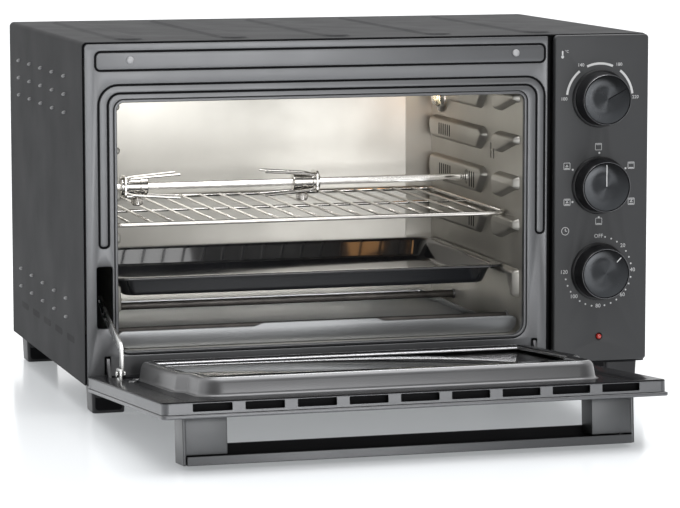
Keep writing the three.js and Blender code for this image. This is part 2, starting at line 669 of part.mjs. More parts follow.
// Pressed inner frame: a shallow tray with a raised hollow ring round the window, nine vent
// slots in its top edge and cut-outs for the hinge lugs and the stay bracket.
function doorFrame() {
  const sheet = 1.2;
  const x0 = DOOR.x0 + 2;
  const x1 = DOOR.x1 - 1.6;
  const low = DOOR.low + 1;
  const high = DOOR.high - 1.5;
  const back = DOOR.inner - sheet;
  const rim = -4;
  const outer = roundRect(x0, x1, low, high, 4);
  const inner = roundRect(x0 + sheet, x1 - sheet, low + sheet, high - sheet, 2.8);
  const face = tube(outer, ringOutline(0), back, DOOR.inner);
  const walls = tube(outer, inner, rim, back + 0.5);
  const ringWall = tube(ringOutline(0), ringOutline(sheet), back, RING.top);
  const ringTop = tube(ringOutline(0), ringOutline(RING.band), RING.top - sheet, RING.top);
  const ringInside = tube(ringOutline(RING.band - sheet), ringOutline(RING.band), PANE.y1 + GAP,
    RING.top);
  let frame = join(face, walls, ringWall, ringTop, ringInside);
  const middle = (DOOR.x0 + DOOR.x1) / 2;
  for (let i = -4; i <= 4; i += 1) {
    const x = middle + 39.7 * i;
    frame = cut(frame, box(x - 15, x + 15, -3.4, 2.6, high - 2, high + 1));
  }
  for (const [i, x] of HINGE_LUGS.entries()) {
    const ear = i === 0 ? x + 4.4 : x - 5.6;
    const plate = box(ear, ear + 1.2, rim + 0.2, back + 0.5, low + sheet - 0.5, 4.5);
    frame = join(frame, plate);
    frame = cut(frame, box(x - 2.6, x + 2.6, -5, 5, low - 1, 20),
      rod("x", 0, 0, 1.9, x - 20, x + 20, 12));
  }
  const screws = STAY_SCREWS.map(([x, s]) => rod("y", x, s, 1.9, 1, 6, 12));
  return cut(frame, ...screws,
    box(STAY.x - 1.3, STAY.x + 1.3, 1, 6, STAY.s - 8.6, STAY.s + 8.6));
}

// Outer door panel: a pressed frame round the window, with a bevelled edge, hollow behind.
function doorOuterPanel() {
  const y0 = DOOR.outer;
  const y1 = -4.3;
  const { x0, x1, low, high } = DOOR;
  const slab = loft([
    [x0, x1, low, high, 4, -y1],
    [x0, x1, low, high, 4, -y0 - 1],
    [x0 + 1, x1 - 1, low + 1, high - 1, 3.4, -y0],
  ], 3).rotate([90, 0, 0]);
  const window = prism(roundRect(62, 333, 45, 196, 6), "y", y0 - 1, y1 + 1, 4);
  const pocket = roundRect(x0 + 1.5, x1 - 1.5, low + 1.5, high - 1.5, 2.5);
  pocket.holes.push(roundRect(60.5, 334.5, 43.5, 197.5, 7, 7, THREE.Path));
  return cut(slab, window, prism(pocket, "y", y0 + 1.4, y1 + 1, 3));
}

function doorGlass() {
  const inset = RING.band - 6;
  return prism(ringOutline(inset), "y", PANE.y0, PANE.y1, 4);
}

function handleEnd(side) {
  const left = side === "left";
  const { x0, x1, low, high, tip } = HANDLE;
  const outer = left ? x0 : x1;
  const inward = left ? 1 : -1;
  const span = (a, b) => [outer + inward * a, outer + inward * b].sort((p, q) => p - q);
  const top = DOOR.outer - GAP;
  const block = box(...span(0, 34), tip + 7.6, top, low + 2.6, high - 0.3);
  const cap = box(...span(0, 2.4), tip, top, low, high);
  return join(block, cap);
}

// Grip bar: a channel with a low front lip and a taller rear wall.
function handleBar() {
  const { x0, x1, low, high, tip } = HANDLE;
  const section = outline([
    [tip, low], [tip, high + 2.2], [tip + 6.8, high + 2.2], [tip + 6.8, high],
    [tip + 2.6, high], [tip + 2.6, low + 2.2], [tip + 13, low + 2.2], [tip + 13, low],
  ].reverse());
  return prism(section, "x", x0 + 2.8, x1 - 2.8);
}

function hingePin(x, side) {
  const reach = side === "left" ? [x - 14.6, x + 6] : [x - 6, x + 9.6];
  return rod("x", 0, 0, 1.6, ...reach, 12);
}

function stayBracket() {
  const ear = prism(roundRect(2, 13.8, STAY.s - 8, STAY.s + 8, 2, 2), "x", STAY.x - 0.9,
    STAY.x + 0.9, 3);
  const flange = box(STAY.x - 0.9, 34, 1.2, 2.5, STAY.s - 8, STAY.s + 21);
  return cut(join(ear, flange), rod("x", STAY.n, STAY.s, 1.8, STAY.x - 3, STAY.x + 3, 12));
}

function stayRivet() {
  const profile = [[0, -2.6], [2.8, -2.6], [2.8, -1.3], [1.5, -1.2], [1.5, 3.4], [2.8, 3.5],
    [2.8, 4.7], [0, 4.7]];
  return turned(profile, "x", [STAY.x, STAY.n, STAY.s], 12);
}

// Leaf of the right hinge, riveted along the edge of the inner face.
function hingeLeaf() {
  const y = DOOR.inner + GAP;
  const x = HINGE_LUGS[1];
  const leaf = box(x + 2.9, x + 9.4, y, y + 1.4, 6, 62);
  const rivets = [27, 47].map((s) => turned([[0, 0], [3, 0], [2.4, 0.9], [0, 1.2]].map(
    ([r, h]) => [r, -h]).reverse(), "-y", [x + 6.1, y + 1, s], 12));
  return join(leaf, ...rivets);
}

function doorScrew([x, s]) {
  return turned([[0, -1.1], [1.5, -1.1], [1.5, GAP], [3, GAP], [2.7, 1.2], [0, 1.5]].map(
    ([r, h]) => [r, -h]).reverse(), "-y", [x, DOOR.inner, s], 14);
}

// ---------------------------------------------------------------- hinge lugs and door stay
// Flat lug fixed in the casing: it leaves its slot and carries the hinge pin at its tip.
function hingeLug(x) {
  const { y, z } = HINGE;
  const plate = outline([[y - 3.2, z - 1.4], [y - 1.4, z - 3.2], [y + 1.6, z - 3.2],
    [y + 6.6, z + 4.2], [14, z + 4.2], [14, z + 17], [y + 5.4, z + 17], [y + 3, z + 12],
    [y - 2.4, z + 2.6], [y - 3.2, z + 1.2]]);
  return cut(prism(plate, "x", x - 1.4, x + 1.4),
    rod("x", y, z, 1.95, x - 3, x + 3, 12));
}

// Cranked flat arm from the rivet on the door up and back through the slot in the front.
function stayArm() {
  const rivet = new THREE.Vector2(STAY.n, STAY.s).rotateAround(new THREE.Vector2(), OPEN_ANGLE);
  const y = HINGE.y + rivet.x;
  const z = HINGE.z + rivet.y;
  const eye = [y + 80, z + 48];
  const plate = new THREE.Shape();
  plate.moveTo(y - 4.2, z);
  plate.absarc(y, z, 4.2, Math.PI, Math.PI * 2);
  plate.lineTo(y + 5.5, z + 15);
  plate.lineTo(y + 10, z + 19);
  plate.lineTo(y + 58, z + 33);
  plate.absarc(...eye, 4.5, -Math.PI * 0.35, Math.PI * 0.6);
  plate.lineTo(y + 56, z + 41);
  plate.lineTo(y + 4, z + 26);
  plate.lineTo(y - 2, z + 20);
  const holes = [[y, z, 1.9], [...eye, 2]];
  const x = STAY.x + 1.2;
  return cut(prism(plate, "x", x, x + 2, 6),
    ...holes.map(([a, b, r]) => rod("x", a, b, r, x - 1, x + 3, 12)));
}

// ---------------------------------------------------------------- assembly
add(casing, "outer_cover", "cover", outerCover());
add(casing, "back_panel", "cover", backPanel());
add(casing, "base_plate", "cover", basePlate());
add(casing, "front_frame", "front", frontFrame());
add(casing, "control_panel", "front", controlPanel());
add(casing, "cord_gland", "plastic", cordGland());
FRAME_SCREWS.forEach((x, i) => add(casing, `frame_screw_${i + 1}`, "steel", frameScrew(x)));
const feet = { front_left: [5.5, 3], front_right: [446, 3], rear_left: [5.5, 284],
  rear_right: [446, 284] };
for (const [name, [x, y]] of Object.entries(feet)) {
  add(casing, `foot_${name}`, "plastic", foot(x, y));
}

add(casing, "cavity_left_wall", "liner", sideWall("left"));
add(casing, "cavity_right_wall", "liner", sideWall("right"));
add(casing, "cavity_rear_wall", "liner", rearWall());
add(casing, "cavity_ceiling", "liner", ceiling());
add(casing, "cavity_floor", "liner", cavityFloor());
for (const [i, row] of ["front", "rear"].entries()) {
  for (const level of ["lower", "upper"]) {
    const body = heatingRod(ELEMENT.rows[level][i], ELEMENT[level]);
    add(casing, `${level}_heating_rod_${row}`, "rod", body);
  }
}
add(casing, "oven_lamp", "lamp", ovenLamp());
add(casing, "lamp_cover", "glass", lampCover());
add(casing, "wire_rack", "chrome", wireRack());
add(casing, "baking_tray", "enamel", bakingTray());
add(casing, "crumb_tray", "steel", crumbTray());

add(casing, "spit_shaft", "chrome", spitShaft());
add(casing, "drive_socket", "steel", driveSocket());
add(casing, "rotisserie_motor", "inside", rotisserieMotor());
add(casing, "spit_support", "steel", spitSupport());
add(casing, "left_fork", "chrome", fork(LEFT_FORK_X, 1));
add(casing, "right_fork", "chrome", fork(RIGHT_FORK_X, -1));
const screwOffset = FORK_HUB.length / 2 + 3;
add(casing, "left_thumbscrew", "chrome", thumbscrew(LEFT_FORK_X + screwOffset));
add(casing, "right_thumbscrew", "chrome", thumbscrew(RIGHT_FORK_X - screwOffset));

for (const [name, z] of Object.entries(KNOB_HEIGHTS)) {
  add(casing, `${name}_knob`, "knob", knob(z));
  add(casing, `${name}_shaft`, "steel", shaft(z));
}
add(casing, "thermostat", "inside", mechanism(KNOB_HEIGHTS.temperature, 17, 15, 30));
add(casing, "function_switch", "inside", mechanism(KNOB_HEIGHTS.function, 20, 18, 34));
add(casing, "timer", "inside", mechanism(KNOB_HEIGHTS.timer, 24, 24, 30));
add(casing, "indicator_lens", "lens", indicatorLens());

HINGE_LUGS.forEach((x, i) => {
  const side = ["left", "right"][i];
  add(casing, `hinge_lug_${side}`, "steel", hingeLug(x));
  add(door, `hinge_pin_${side}`, "steel", hingePin(x, side));
});
add(casing, "stay_arm", "steel", stayArm());
add(door, "door_frame", "front", doorFrame());
add(door, "door_outer_panel", "cover", doorOuterPanel());
add(door, "door_glass", "glass", doorGlass());
add(door, "handle_end_left", "metal_handle", handleEnd("left"));
add(door, "handle_end_right", "metal_handle", handleEnd("right"));
add(door, "handle_bar", "metal_handle", handleBar());
add(door, "stay_bracket", "steel", stayBracket());
add(door, "stay_rivet", "steel", stayRivet());
add(door, "hinge_leaf_right", "steel", hingeLeaf());
STAY_SCREWS.forEach((place, i) => add(door, `door_screw_${i + 1}`, "steel", doorScrew(place)));

// The origin is under the middle of the whole object, on the surface that it stands on.
const doorEnd = HINGE.y + (DOOR.outer + 1) * Math.cos(OPEN_ANGLE)
  - DOOR.high * Math.sin(OPEN_ANGLE);
oven.position.set(-WIDTH / 2, -(doorEnd + DEPTH) / 2, 0);

export default oven;
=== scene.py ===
"""Countertop rotisserie oven with its glass door open, on a pale studio floor.

Pieces are laid out in millimetres in two spaces. CASING has x from the left side, y from the
front sheet towards the back and z from the floor. DOOR has x from the left side, y towards the
cavity and z up the closed door, both from the hinge axis.
"""

import json
import math

import bmesh
import bpy
from mathutils import Matrix, Vector
from mathutils.geometry import tessellate_polygon


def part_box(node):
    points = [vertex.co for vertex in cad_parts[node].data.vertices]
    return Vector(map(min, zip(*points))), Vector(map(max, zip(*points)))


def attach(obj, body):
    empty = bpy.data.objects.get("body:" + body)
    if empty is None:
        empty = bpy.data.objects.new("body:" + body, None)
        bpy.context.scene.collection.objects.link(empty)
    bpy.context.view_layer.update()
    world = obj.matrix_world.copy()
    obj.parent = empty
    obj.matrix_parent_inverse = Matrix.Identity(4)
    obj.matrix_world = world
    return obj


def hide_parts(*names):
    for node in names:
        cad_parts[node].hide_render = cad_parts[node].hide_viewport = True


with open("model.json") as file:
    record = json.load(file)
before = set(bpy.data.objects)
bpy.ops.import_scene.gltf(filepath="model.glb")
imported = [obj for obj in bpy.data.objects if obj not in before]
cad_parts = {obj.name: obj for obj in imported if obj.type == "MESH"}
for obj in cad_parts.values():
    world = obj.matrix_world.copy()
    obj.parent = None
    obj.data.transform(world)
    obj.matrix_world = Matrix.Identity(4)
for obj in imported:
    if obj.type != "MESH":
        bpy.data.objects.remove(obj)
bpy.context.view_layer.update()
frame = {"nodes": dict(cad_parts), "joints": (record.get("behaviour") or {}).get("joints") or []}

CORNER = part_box("front_frame")[0]
CASING = Matrix.Translation((CORNER.x, CORNER.y, 0)) @ Matrix.Scale(0.001, 4)
HINGE = next(j for j in frame["joints"] if j["name"] == "door_hinge")
OPENED = math.radians(-HINGE["range_deg"][0])
DOOR = (
    Matrix.Translation((CORNER.x, HINGE["pos_m"][1], HINGE["pos_m"][2]))
    @ Matrix.Rotation(OPENED, 4, "X")
    @ Matrix.Scale(0.001, 4)
)


def extent(node, space=CASING):
    """The lowest and highest corner of a CAD node, in millimetres in one of the spaces."""
    back = space.inverted()
    points = [back @ v.co for v in frame["nodes"][node].data.vertices]
    return [Vector([pick(p[i] for p in points) for i in range(3)]) for pick in (min, max)]


def middle(node, space=CASING):
    return tuple((a + b) / 2 for a, b in zip(*extent(node, space)))


def set_inputs(node, values):
    for key, value in values.items():
        node.inputs[key].default_value = value


def map_range(nodes, *limits):
    node = nodes.new("ShaderNodeMapRange")
    set_inputs(node, dict(zip(("From Min", "From Max", "To Min", "To Max"), limits)))
    return node


# ---------------------------------------------------------------- camera and light
def place_camera():
    yaw, pitch, roll = 0.27784, 0.1227, -0.0009
    ahead = Vector((math.sin(yaw) * math.cos(pitch), math.cos(yaw) * math.cos(pitch),
                    -math.sin(pitch)))
    right = ahead.cross(Vector((0, 0, 1))).normalized()
    up = right.cross(ahead)
    turn = Matrix((right, up, -ahead)).transposed().to_4x4()
    data = bpy.data.cameras.new("camera")
    data.sensor_width = 36
    data.lens = 177.46
    data.clip_end = 50
    camera = bpy.data.objects.new("camera", data)
    where = CASING @ Vector((-534.1, -2619.6, 459.2))
    camera.matrix_world = Matrix.Translation(where) @ turn @ Matrix.Rotation(roll, 4, "Z")
    bpy.context.scene.collection.objects.link(camera)
    bpy.context.scene.camera = camera


def area_light(name, at, target, size, watts, color=(1, 1, 1)):
    data = bpy.data.lights.new(name, "AREA")
    data.shape = "RECTANGLE"
    data.size, data.size_y = size
    data.energy = watts
    data.color = color
    light = bpy.data.objects.new(name, data)
    light.location = at
    light.rotation_euler = (Vector(target) - Vector(at)).to_track_quat("-Z", "Y").to_euler()
    bpy.context.scene.collection.objects.link(light)


def light_studio():
    """A white sweep behind the oven, a dim room in front of it and soft boxes."""
    world = bpy.data.worlds.new("studio")
    world.use_nodes = True
    nodes, links = world.node_tree.nodes, world.node_tree.links
    coords = nodes.new("ShaderNodeTexCoord")
    split = nodes.new("ShaderNodeSeparateXYZ")
    fade = map_range(nodes, -0.5, 0.35, 0.26, 1.2)
    fade.interpolation_type = "SMOOTHSTEP"
    links.new(coords.outputs["Generated"], split.inputs["Vector"])
    links.new(split.outputs["Y"], fade.inputs["Value"])
    links.new(fade.outputs["Result"], nodes["Background"].inputs["Strength"])
    nodes["Background"].inputs["Color"].default_value = (1.0, 1.0, 1.0, 1)
    bpy.context.scene.world = world
    area_light("key", (0.12, -2.1, 0.40), (-0.05, 0, 0.14), (1.0, 0.5), 10.5)
    area_light("top", (0.1, -0.3, 2.0), (0.05, -0.2, 0), (2.2, 2.2), 44)
    area_light("cavity_fill", (-0.04, 0.005, 0.15), (-0.04, 0.3, 0.145), (0.33, 0.17), 0.070,
               (1.0, 0.985, 0.96))
    area_light("cavity_top", (-0.12, 0.11, 0.238), (-0.14, 0.26, 0.16), (0.14, 0.08), 0.12)
    area_light("cavity_low", (-0.04, 0.10, 0.083), (-0.04, 0.24, 0.06), (0.3, 0.01), 0.11)
    area_light("lamp_glow", (0.10, 0.13, 0.225), (0.06, 0.24, 0.19), (0.03, 0.03), 0.008,
               (1.0, 0.50, 0.18))


# ---------------------------------------------------------------- materials
def material(name, color, roughness, metallic=0.0, mottle=0.03, mottle_scale=9.0,
             grain=0.0, grain_scale=900.0, rough_spread=0.03, rough_scale=24.0,
             stretch=(1, 1, 1), **sockets):
    """A procedural surface: cloudy colour, uneven roughness and a fine grain in relief."""
    made = bpy.data.materials.new(name)
    made.use_nodes = True
    nodes, links = made.node_tree.nodes, made.node_tree.links
    shader = nodes["Principled BSDF"]
    set_inputs(shader, {"Metallic": metallic})
    set_inputs(shader, {key.replace("_", " "): value for key, value in sockets.items()})
    coords = nodes.new("ShaderNodeTexCoord")
    mapping = nodes.new("ShaderNodeMapping")
    mapping.inputs["Scale"].default_value = stretch
    links.new(coords.outputs["Object"], mapping.inputs["Vector"])

    def noise(scale, detail):
        node = nodes.new("ShaderNodeTexNoise")
        set_inputs(node, {"Scale": scale, "Detail": detail})
        links.new(mapping.outputs["Vector"], node.inputs["Vector"])
        return node

    cloud = noise(mottle_scale, 4)
    ramp = nodes.new("ShaderNodeValToRGB")
    ramp.color_ramp.elements[0].position = 0.3
    ramp.color_ramp.elements[1].position = 0.7
    ramp.color_ramp.elements[0].color = (*[c * (1 - mottle) for c in color], 1)
    ramp.color_ramp.elements[1].color = (*[min(1, c * (1 + mottle)) for c in color], 1)
    links.new(cloud.outputs["Fac"], ramp.inputs["Fac"])
    links.new(ramp.outputs["Color"], shader.inputs["Base Color"])

    smear = noise(rough_scale, 5)
    spread = map_range(nodes, 0.3, 0.7, max(0.02, roughness - rough_spread),
                       roughness + rough_spread)
    links.new(smear.outputs["Fac"], spread.inputs["Value"])
    links.new(spread.outputs["Result"], shader.inputs["Roughness"])

    if grain:
        bump = nodes.new("ShaderNodeBump")
        set_inputs(bump, {"Strength": grain, "Distance": 0.0002})
        links.new(noise(grain_scale, 2).outputs["Fac"], bump.inputs["Height"])
        links.new(bump.outputs["Normal"], shader.inputs["Normal"])
    return made


MAT = {
    "front": material(
        "front_paint", (0.140, 0.142, 0.147), 0.36, 0.75, mottle=0.015, grain=0.05,
        grain_scale=1500),
    "groove": material(
        "groove_shadow", (0.004, 0.004, 0.005), 0.6, grain=0.1, Specular_IOR_Level=0.1),
    "cover": material(
        "cover_paint", (0.020, 0.0205, 0.022), 0.50, mottle=0.02, grain=0.10, grain_scale=1300,
        Specular_IOR_Level=0.035),
    "panel": material(
        "panel_paint", (0.048, 0.049, 0.051), 0.46, 0.2, mottle=0.02, grain=0.10,
        grain_scale=1400, Specular_IOR_Level=0.4),
    # near-black fill put where there is only shade: painted shade in gaps, vent slots, hollows and
    # under the oven
    "inside": material(
        "casing_inside", (0.006, 0.006, 0.007), 0.7, grain=0.1, Specular_IOR_Level=0.15),
    "liner": material(
        "aluminised_liner", (0.555, 0.54, 0.50), 0.40, 0.86, mottle=0.03, mottle_scale=30,
        rough_spread=0.04, grain=0.03, grain_scale=900),
    "tray_enamel": material(
        "dark_enamel", (0.012, 0.013, 0.016), 0.12, mottle=0.1, grain=0.02, grain_scale=260,
        Coat_Weight=0.6, Coat_Roughness=0.06),
    "chrome": material("chrome", (0.74, 0.72, 0.69), 0.10, 1.0, rough_spread=0.03, grain=0.02),
    "steel": material(
        "zinc_steel", (0.50, 0.50, 0.49), 0.26, 1.0, mottle=0.06, mottle_scale=60,
        rough_spread=0.06, rough_scale=90, grain=0.05),
    # the nibs are pressed from the cover sheet; this lighter copy of its paint is a painted
    # highlight
    "nib": material("painted_nib_highlight", (0.055, 0.056, 0.058), 0.40, 0.3, grain=0.05),
    "screw": material("screw_head", (0.42, 0.42, 0.43), 0.5, 0.3, grain=0.05),
    "dark_steel": material(
        "dark_steel", (0.16, 0.16, 0.165), 0.32, 0.9, mottle=0.1, mottle_scale=60, grain=0.08),
    "crumb": material(
        "crumb_steel", (0.24, 0.245, 0.25), 0.34, 0.85, rough_spread=0.04, grain=0.03,
        stretch=(0.25, 1, 1)),
    "heater": material(
        "heater_sheath", (0.055, 0.050, 0.046), 0.5, 0.6, mottle=0.35, mottle_scale=60, grain=0.2,
        grain_scale=700),
    "door": material(
        "door_paint", (0.009, 0.009, 0.010), 0.22, mottle=0.02, grain=0.02, grain_scale=1200,
        Specular_IOR_Level=0.02),
    # bright band on the ring crown's edge: painted highlight
    "bead_painted_highlight": material("bead_painted_highlight", (0.42, 0.425, 0.43), 0.25, 0.9, grain=0.02),
    # a lighter copy of the handle paint for the front lip of the bar: painted sheen
    "grip": material(
        "grip_painted_sheen", (0.10, 0.102, 0.106), 0.40, 0.7, mottle=0.015, grain=0.06,
        grain_scale=1500),
    # a lighter copy of the door paint for the ring walls, which belong to the same pressing:
    # painted sheen
    "ring": material(
        "ring_wall_painted_sheen", (0.165, 0.166, 0.170), 0.36, 0.8, mottle=0.02, grain=0.02,
        grain_scale=1200),
    # bright band on the ring crown's edge: painted highlight
    "rim": material("painted_edge_highlight", (0.36, 0.36, 0.37), 0.2, 0.9, grain=0.03),
    "handle": material(
        "handle_paint", (0.085, 0.087, 0.090), 0.38, 0.7, mottle=0.015, grain=0.06,
        grain_scale=1500),
    "plastic": material(
        "foot_plastic", (0.020, 0.020, 0.022), 0.40, mottle=0.1, grain=0.25, grain_scale=1600,
        Specular_IOR_Level=0.4),
    "knob_side": material(
        "knob_side", (0.008, 0.008, 0.009), 0.30, mottle=0.1, grain=0.12, grain_scale=1500,
        Specular_IOR_Level=0.35),
    "knob_rim": material("knob_rim", (0.30, 0.30, 0.31), 0.12, 1.0),
    "print": material("printed_white", (0.62, 0.62, 0.62), 0.5, mottle=0.04, grain=0.05),
    "lens": material(
        "red_lens", (0.50, 0.025, 0.015), 0.14, mottle=0.1, grain=0.02, Coat_Weight=1.0,
        Coat_Roughness=0.05),
    "gland": material("gland_plastic", (0.02, 0.02, 0.021), 0.5, grain=0.3),
    "housing": material("moulded_housing", (0.6, 0.58, 0.52), 0.5, grain=0.2),
}


def spun_metal():
    """Dark metal turned on a lathe: the sheen runs in rays from the middle of the face."""
    made = material("spun_face", (0.047, 0.049, 0.052), 0.26, 1.0, mottle=0.03,
                    rough_spread=0.03, Anisotropic=0.88)
    nodes, links = made.node_tree.nodes, made.node_tree.links
    tangent = nodes.new("ShaderNodeTangent")
    tangent.direction_type = "RADIAL"
    tangent.axis = "Y"
    links.new(tangent.outputs["Tangent"], nodes["Principled BSDF"].inputs["Tangent"])
    return made


def glass(name, color, index):
    return material(name, color, 0.03, 0.0, mottle=0.02, rough_spread=0.01,
                    Transmission_Weight=1.0, IOR=index)


MAT["spun"] = spun_metal()
MAT["glass"] = glass("door_glass_tint", (0.16, 0.17, 0.175), 2.6)
MAT["lamp_glass"] = glass("lamp_glass_clear", (0.95, 0.95, 0.92), 1.5)
MAT["bulb"] = material("bulb", (0.9, 0.85, 0.7), 0.3, 0.0, Emission_Color=(1, 0.85, 0.6, 1),
                       Emission_Strength=14.0)


# ---------------------------------------------------------------- mesh makers, millimetres
def arc(u, v, r, start, end, steps=8):
    """Points on a circle round (u, v), from one angle to another in degrees."""
    turn = [math.radians(start + (end - start) * i / steps) for i in range(steps + 1)]
    return [(u + r * math.cos(a), v + r * math.sin(a)) for a in turn]


def rounded(u0, u1, v0, v1, low, high=None, steps=6):
    """A rectangle, anticlockwise, with one radius below and one above."""
    high = low if high is None else high
    corners = ((u1 - low, v0 + low, low, -90), (u1 - high, v1 - high, high, 0),
               (u0 + high, v1 - high, high, 90), (u0 + low, v0 + low, low, 180))
    return [p for u, v, r, start in corners for p in arc(u, v, r, start, start + 90, steps)]


def circle(u, v, r, steps=24):
    return arc(u, v, r, 0, 360, steps)[:-1]


def area(loop):
    return sum(a[0] * b[1] - b[0] * a[1] for a, b in zip(loop, loop[1:] + loop[:1])) / 2


def inset(loop, d):
    """The loop moved to its left by d: inwards on an anticlockwise one, outwards on a hole."""
    moved = []
    for i, p in enumerate(loop):
        before, after = Vector(loop[i - 1]), Vector(loop[(i + 1) % len(loop)])
        a = (Vector(p) - before).normalized()
        b = (after - Vector(p)).normalized()
        n1, n2 = Vector((-a.y, a.x)), Vector((-b.y, b.x))
        shift = (n1 + n2) / max(0.4, 1 + n1.dot(n2))
        moved.append((p[0] + shift.x * d, p[1] + shift.y * d))
    return moved


def join(mesh, rings, closed=False):
    """Quads between rings of vertices, taken in order."""
    for low, high in zip(rings, rings[1:] + rings[:1] if closed else rings[1:]):
        for i in range(len(low)):
            j = (i + 1) % len(low)
            mesh.faces.new((low[i], low[j], high[j], high[i]))


def outward(mesh):
    bmesh.ops.recalc_face_normals(mesh, faces=mesh.faces)
    return mesh


AXES = {
    "x": lambda u, v, h: (h, u, v),
    "y": lambda u, v, h: (u, h, v),
    "z": lambda u, v, h: (u, v, h),
}


def edge_round(start, end, r0, r1, steps=3):
    """Levels (inset, height) of a plate from start to end with both its edges rounded."""
    way = 1 if end > start else -1
    quarter = [math.radians(90 * i / steps) for i in range(steps + 1)]
    first = [(r0 * (1 - math.sin(a)), start + way * r0 * (1 - math.cos(a))) for a in quarter]
    last = [(r1 * (1 - math.sin(a)), end - way * r1 * (1 - math.cos(a))) for a in quarter]
    return (first if r0 else [(0, start)]) + (last[::-1] if r1 else [(0, end)])


def plate(outline, holes, axis, levels):
    """A slab with holes, extruded along an axis through levels of (inset, height)."""
    place = AXES[axis]
    loops = [outline if area(outline) > 0 else outline[::-1]]
    loops += [hole[::-1] if area(hole) > 0 else hole for hole in holes]
    mesh = bmesh.new()
    rings = []
    for loop in loops:
        stack = [[mesh.verts.new(place(u, v, h)) for u, v in inset(loop, d)]
                 for d, h in levels]
        rings.append(stack)
        join(mesh, stack)
    for level in (0, -1):
        flat = [[Vector((*p, 0)) for p in inset(loop, levels[level][0])] for loop in loops]
        verts = [v for stack in rings for v in stack[level]]
        for triangle in tessellate_polygon(flat):
            mesh.faces.new([verts[i] for i in triangle])
    return outward(mesh)


def slab(lo, hi, radius, edge, axis="y"):
    """A rounded block between two corners, seen along an axis."""
    u, v, h = {"x": (1, 2, 0), "y": (0, 2, 1), "z": (0, 1, 2)}[axis]
    edge = min(edge, (hi[h] - lo[h]) * 0.45)
    outline = rounded(lo[u], hi[u], lo[v], hi[v], radius, steps=4)
    return plate(outline, [], axis, edge_round(lo[h], hi[h], edge, edge, 2))


def band(loop, axis, profile):
    """A closed profile of (inset, height) swept round a loop."""
    place = AXES[axis]
    loop = loop if area(loop) > 0 else loop[::-1]
    mesh = bmesh.new()
    stack = [[mesh.verts.new(place(u, v, h)) for u, v in inset(loop, d)] for d, h in profile]
    join(mesh, stack, closed=True)
    return outward(mesh)


def lathe(profile, axis, centre, segments=64):
    """A profile of (radius, height) turned about an axis; it closes on itself or on the axis."""
    mesh = bmesh.new()
    place = {"x": lambda c, s, h: (h, c, s), "y": lambda c, s, h: (c, h, s),
             "z": lambda c, s, h: (c, s, h)}[axis]
    rings = []
    for r, h in profile:
        count = 1 if r == 0 else segments
        turn = [2 * math.pi * i / segments for i in range(count)]
        rings.append([mesh.verts.new(Vector(place(r * math.cos(a), r * math.sin(a), h))
                                     + Vector(centre)) for a in turn])
    closed = profile[0][0] > 0
    for low, high in zip(rings, rings[1:] + rings[:1] if closed else rings[1:]):
        for i in range(segments):
            j = (i + 1) % segments
            corners = [low[i % len(low)], low[j % len(low)], high[j % len(high)],
                       high[i % len(high)]]
            corners = list(dict.fromkeys(corners))
            if len(corners) > 2:
                mesh.faces.new(corners)
    return outward(mesh)


def sweep(points, section, bend=0.0, closed=False):
    """A section of (across, up) swept along corners that are rounded by bend."""
    corners = [Vector(p) for p in points]
    stations = []
    for i, corner in enumerate(corners):
        if not closed and i in (0, len(corners) - 1):
            stations.append(corner)
            continue
        a = corner + (corners[i - 1] - corner).normalized() * bend
        b = corner + (corners[(i + 1) % len(corners)] - corner).normalized() * bend
        for t in (k / 6 for k in range(7)):
            stations.append(a * (1 - t) ** 2 + corner * 2 * t * (1 - t) + b * t * t)
    mesh = bmesh.new()
    count = len(stations)
    rings = []
    for i, point in enumerate(stations):
        before = stations[i - 1] if closed or i else point
        after = stations[(i + 1) % count] if closed or i + 1 < count else point
        along = (after - before).normalized()
        side = Vector((0, 0, 1)).cross(along)
        side = side.normalized() if side.length > 0.05 else Vector((1, 0, 0))
        up = along.cross(side)
        rings.append([mesh.verts.new(point + side * a + up * b) for a, b in section])
    join(mesh, rings, closed)
    if not closed:
        mesh.faces.new(rings[0])
        mesh.faces.new(rings[-1])
    return outward(mesh)


def wire(points, radius, bend=0.0, closed=False, sides=12):
    return sweep(points, circle(0, 0, radius, sides), bend, closed)


def rod(axis, centre, radius, start, end, edge=0.3, segments=32):
    profile = [(0, start)] + [(radius - d, h) for d, h in edge_round(start, end, edge, edge, 2)]
    return lathe(profile + [(0, end)], axis, centre, segments)


def loft(sections):
    """Rounded rectangles (x0, x1, y0, y1, radius, z) joined in order, capped at both ends."""
    mesh = bmesh.new()
    rings = []
    for x0, x1, y0, y1, r, z in sections:
        loop = rounded(x0, x1, y0, y1, r, steps=8)
        rings.append([mesh.verts.new((u, v, z)) for u, v in loop])
    join(mesh, rings)
    mesh.faces.new(rings[0])
    mesh.faces.new(rings[-1])
    return outward(mesh)


def moved(mesh, matrix):
    bmesh.ops.transform(mesh, matrix=matrix, verts=mesh.verts)
    return mesh


def lettering(text, size, at):
    """Plain raised lettering on the panel, centred on (x, z), facing the front."""
    curve = bpy.data.curves.new("lettering", "FONT")
    curve.body = text
    curve.size = size
    curve.align_x = "CENTER"
    curve.align_y = "CENTER"
    curve.extrude = 0.03
    curve.resolution_u = 3
    holder = bpy.data.objects.new("lettering", curve)
    bpy.context.scene.collection.objects.link(holder)
    made = bpy.data.meshes.new_from_object(holder)
    bpy.data.objects.remove(holder)
    mesh = bmesh.new()
    mesh.from_mesh(made)
    bpy.data.meshes.remove(made)
    stand = Matrix.Translation((at[0], PRINT_Y, at[1])) @ Matrix.Rotation(math.pi / 2, 4, "X")
    return moved(mesh, stand)


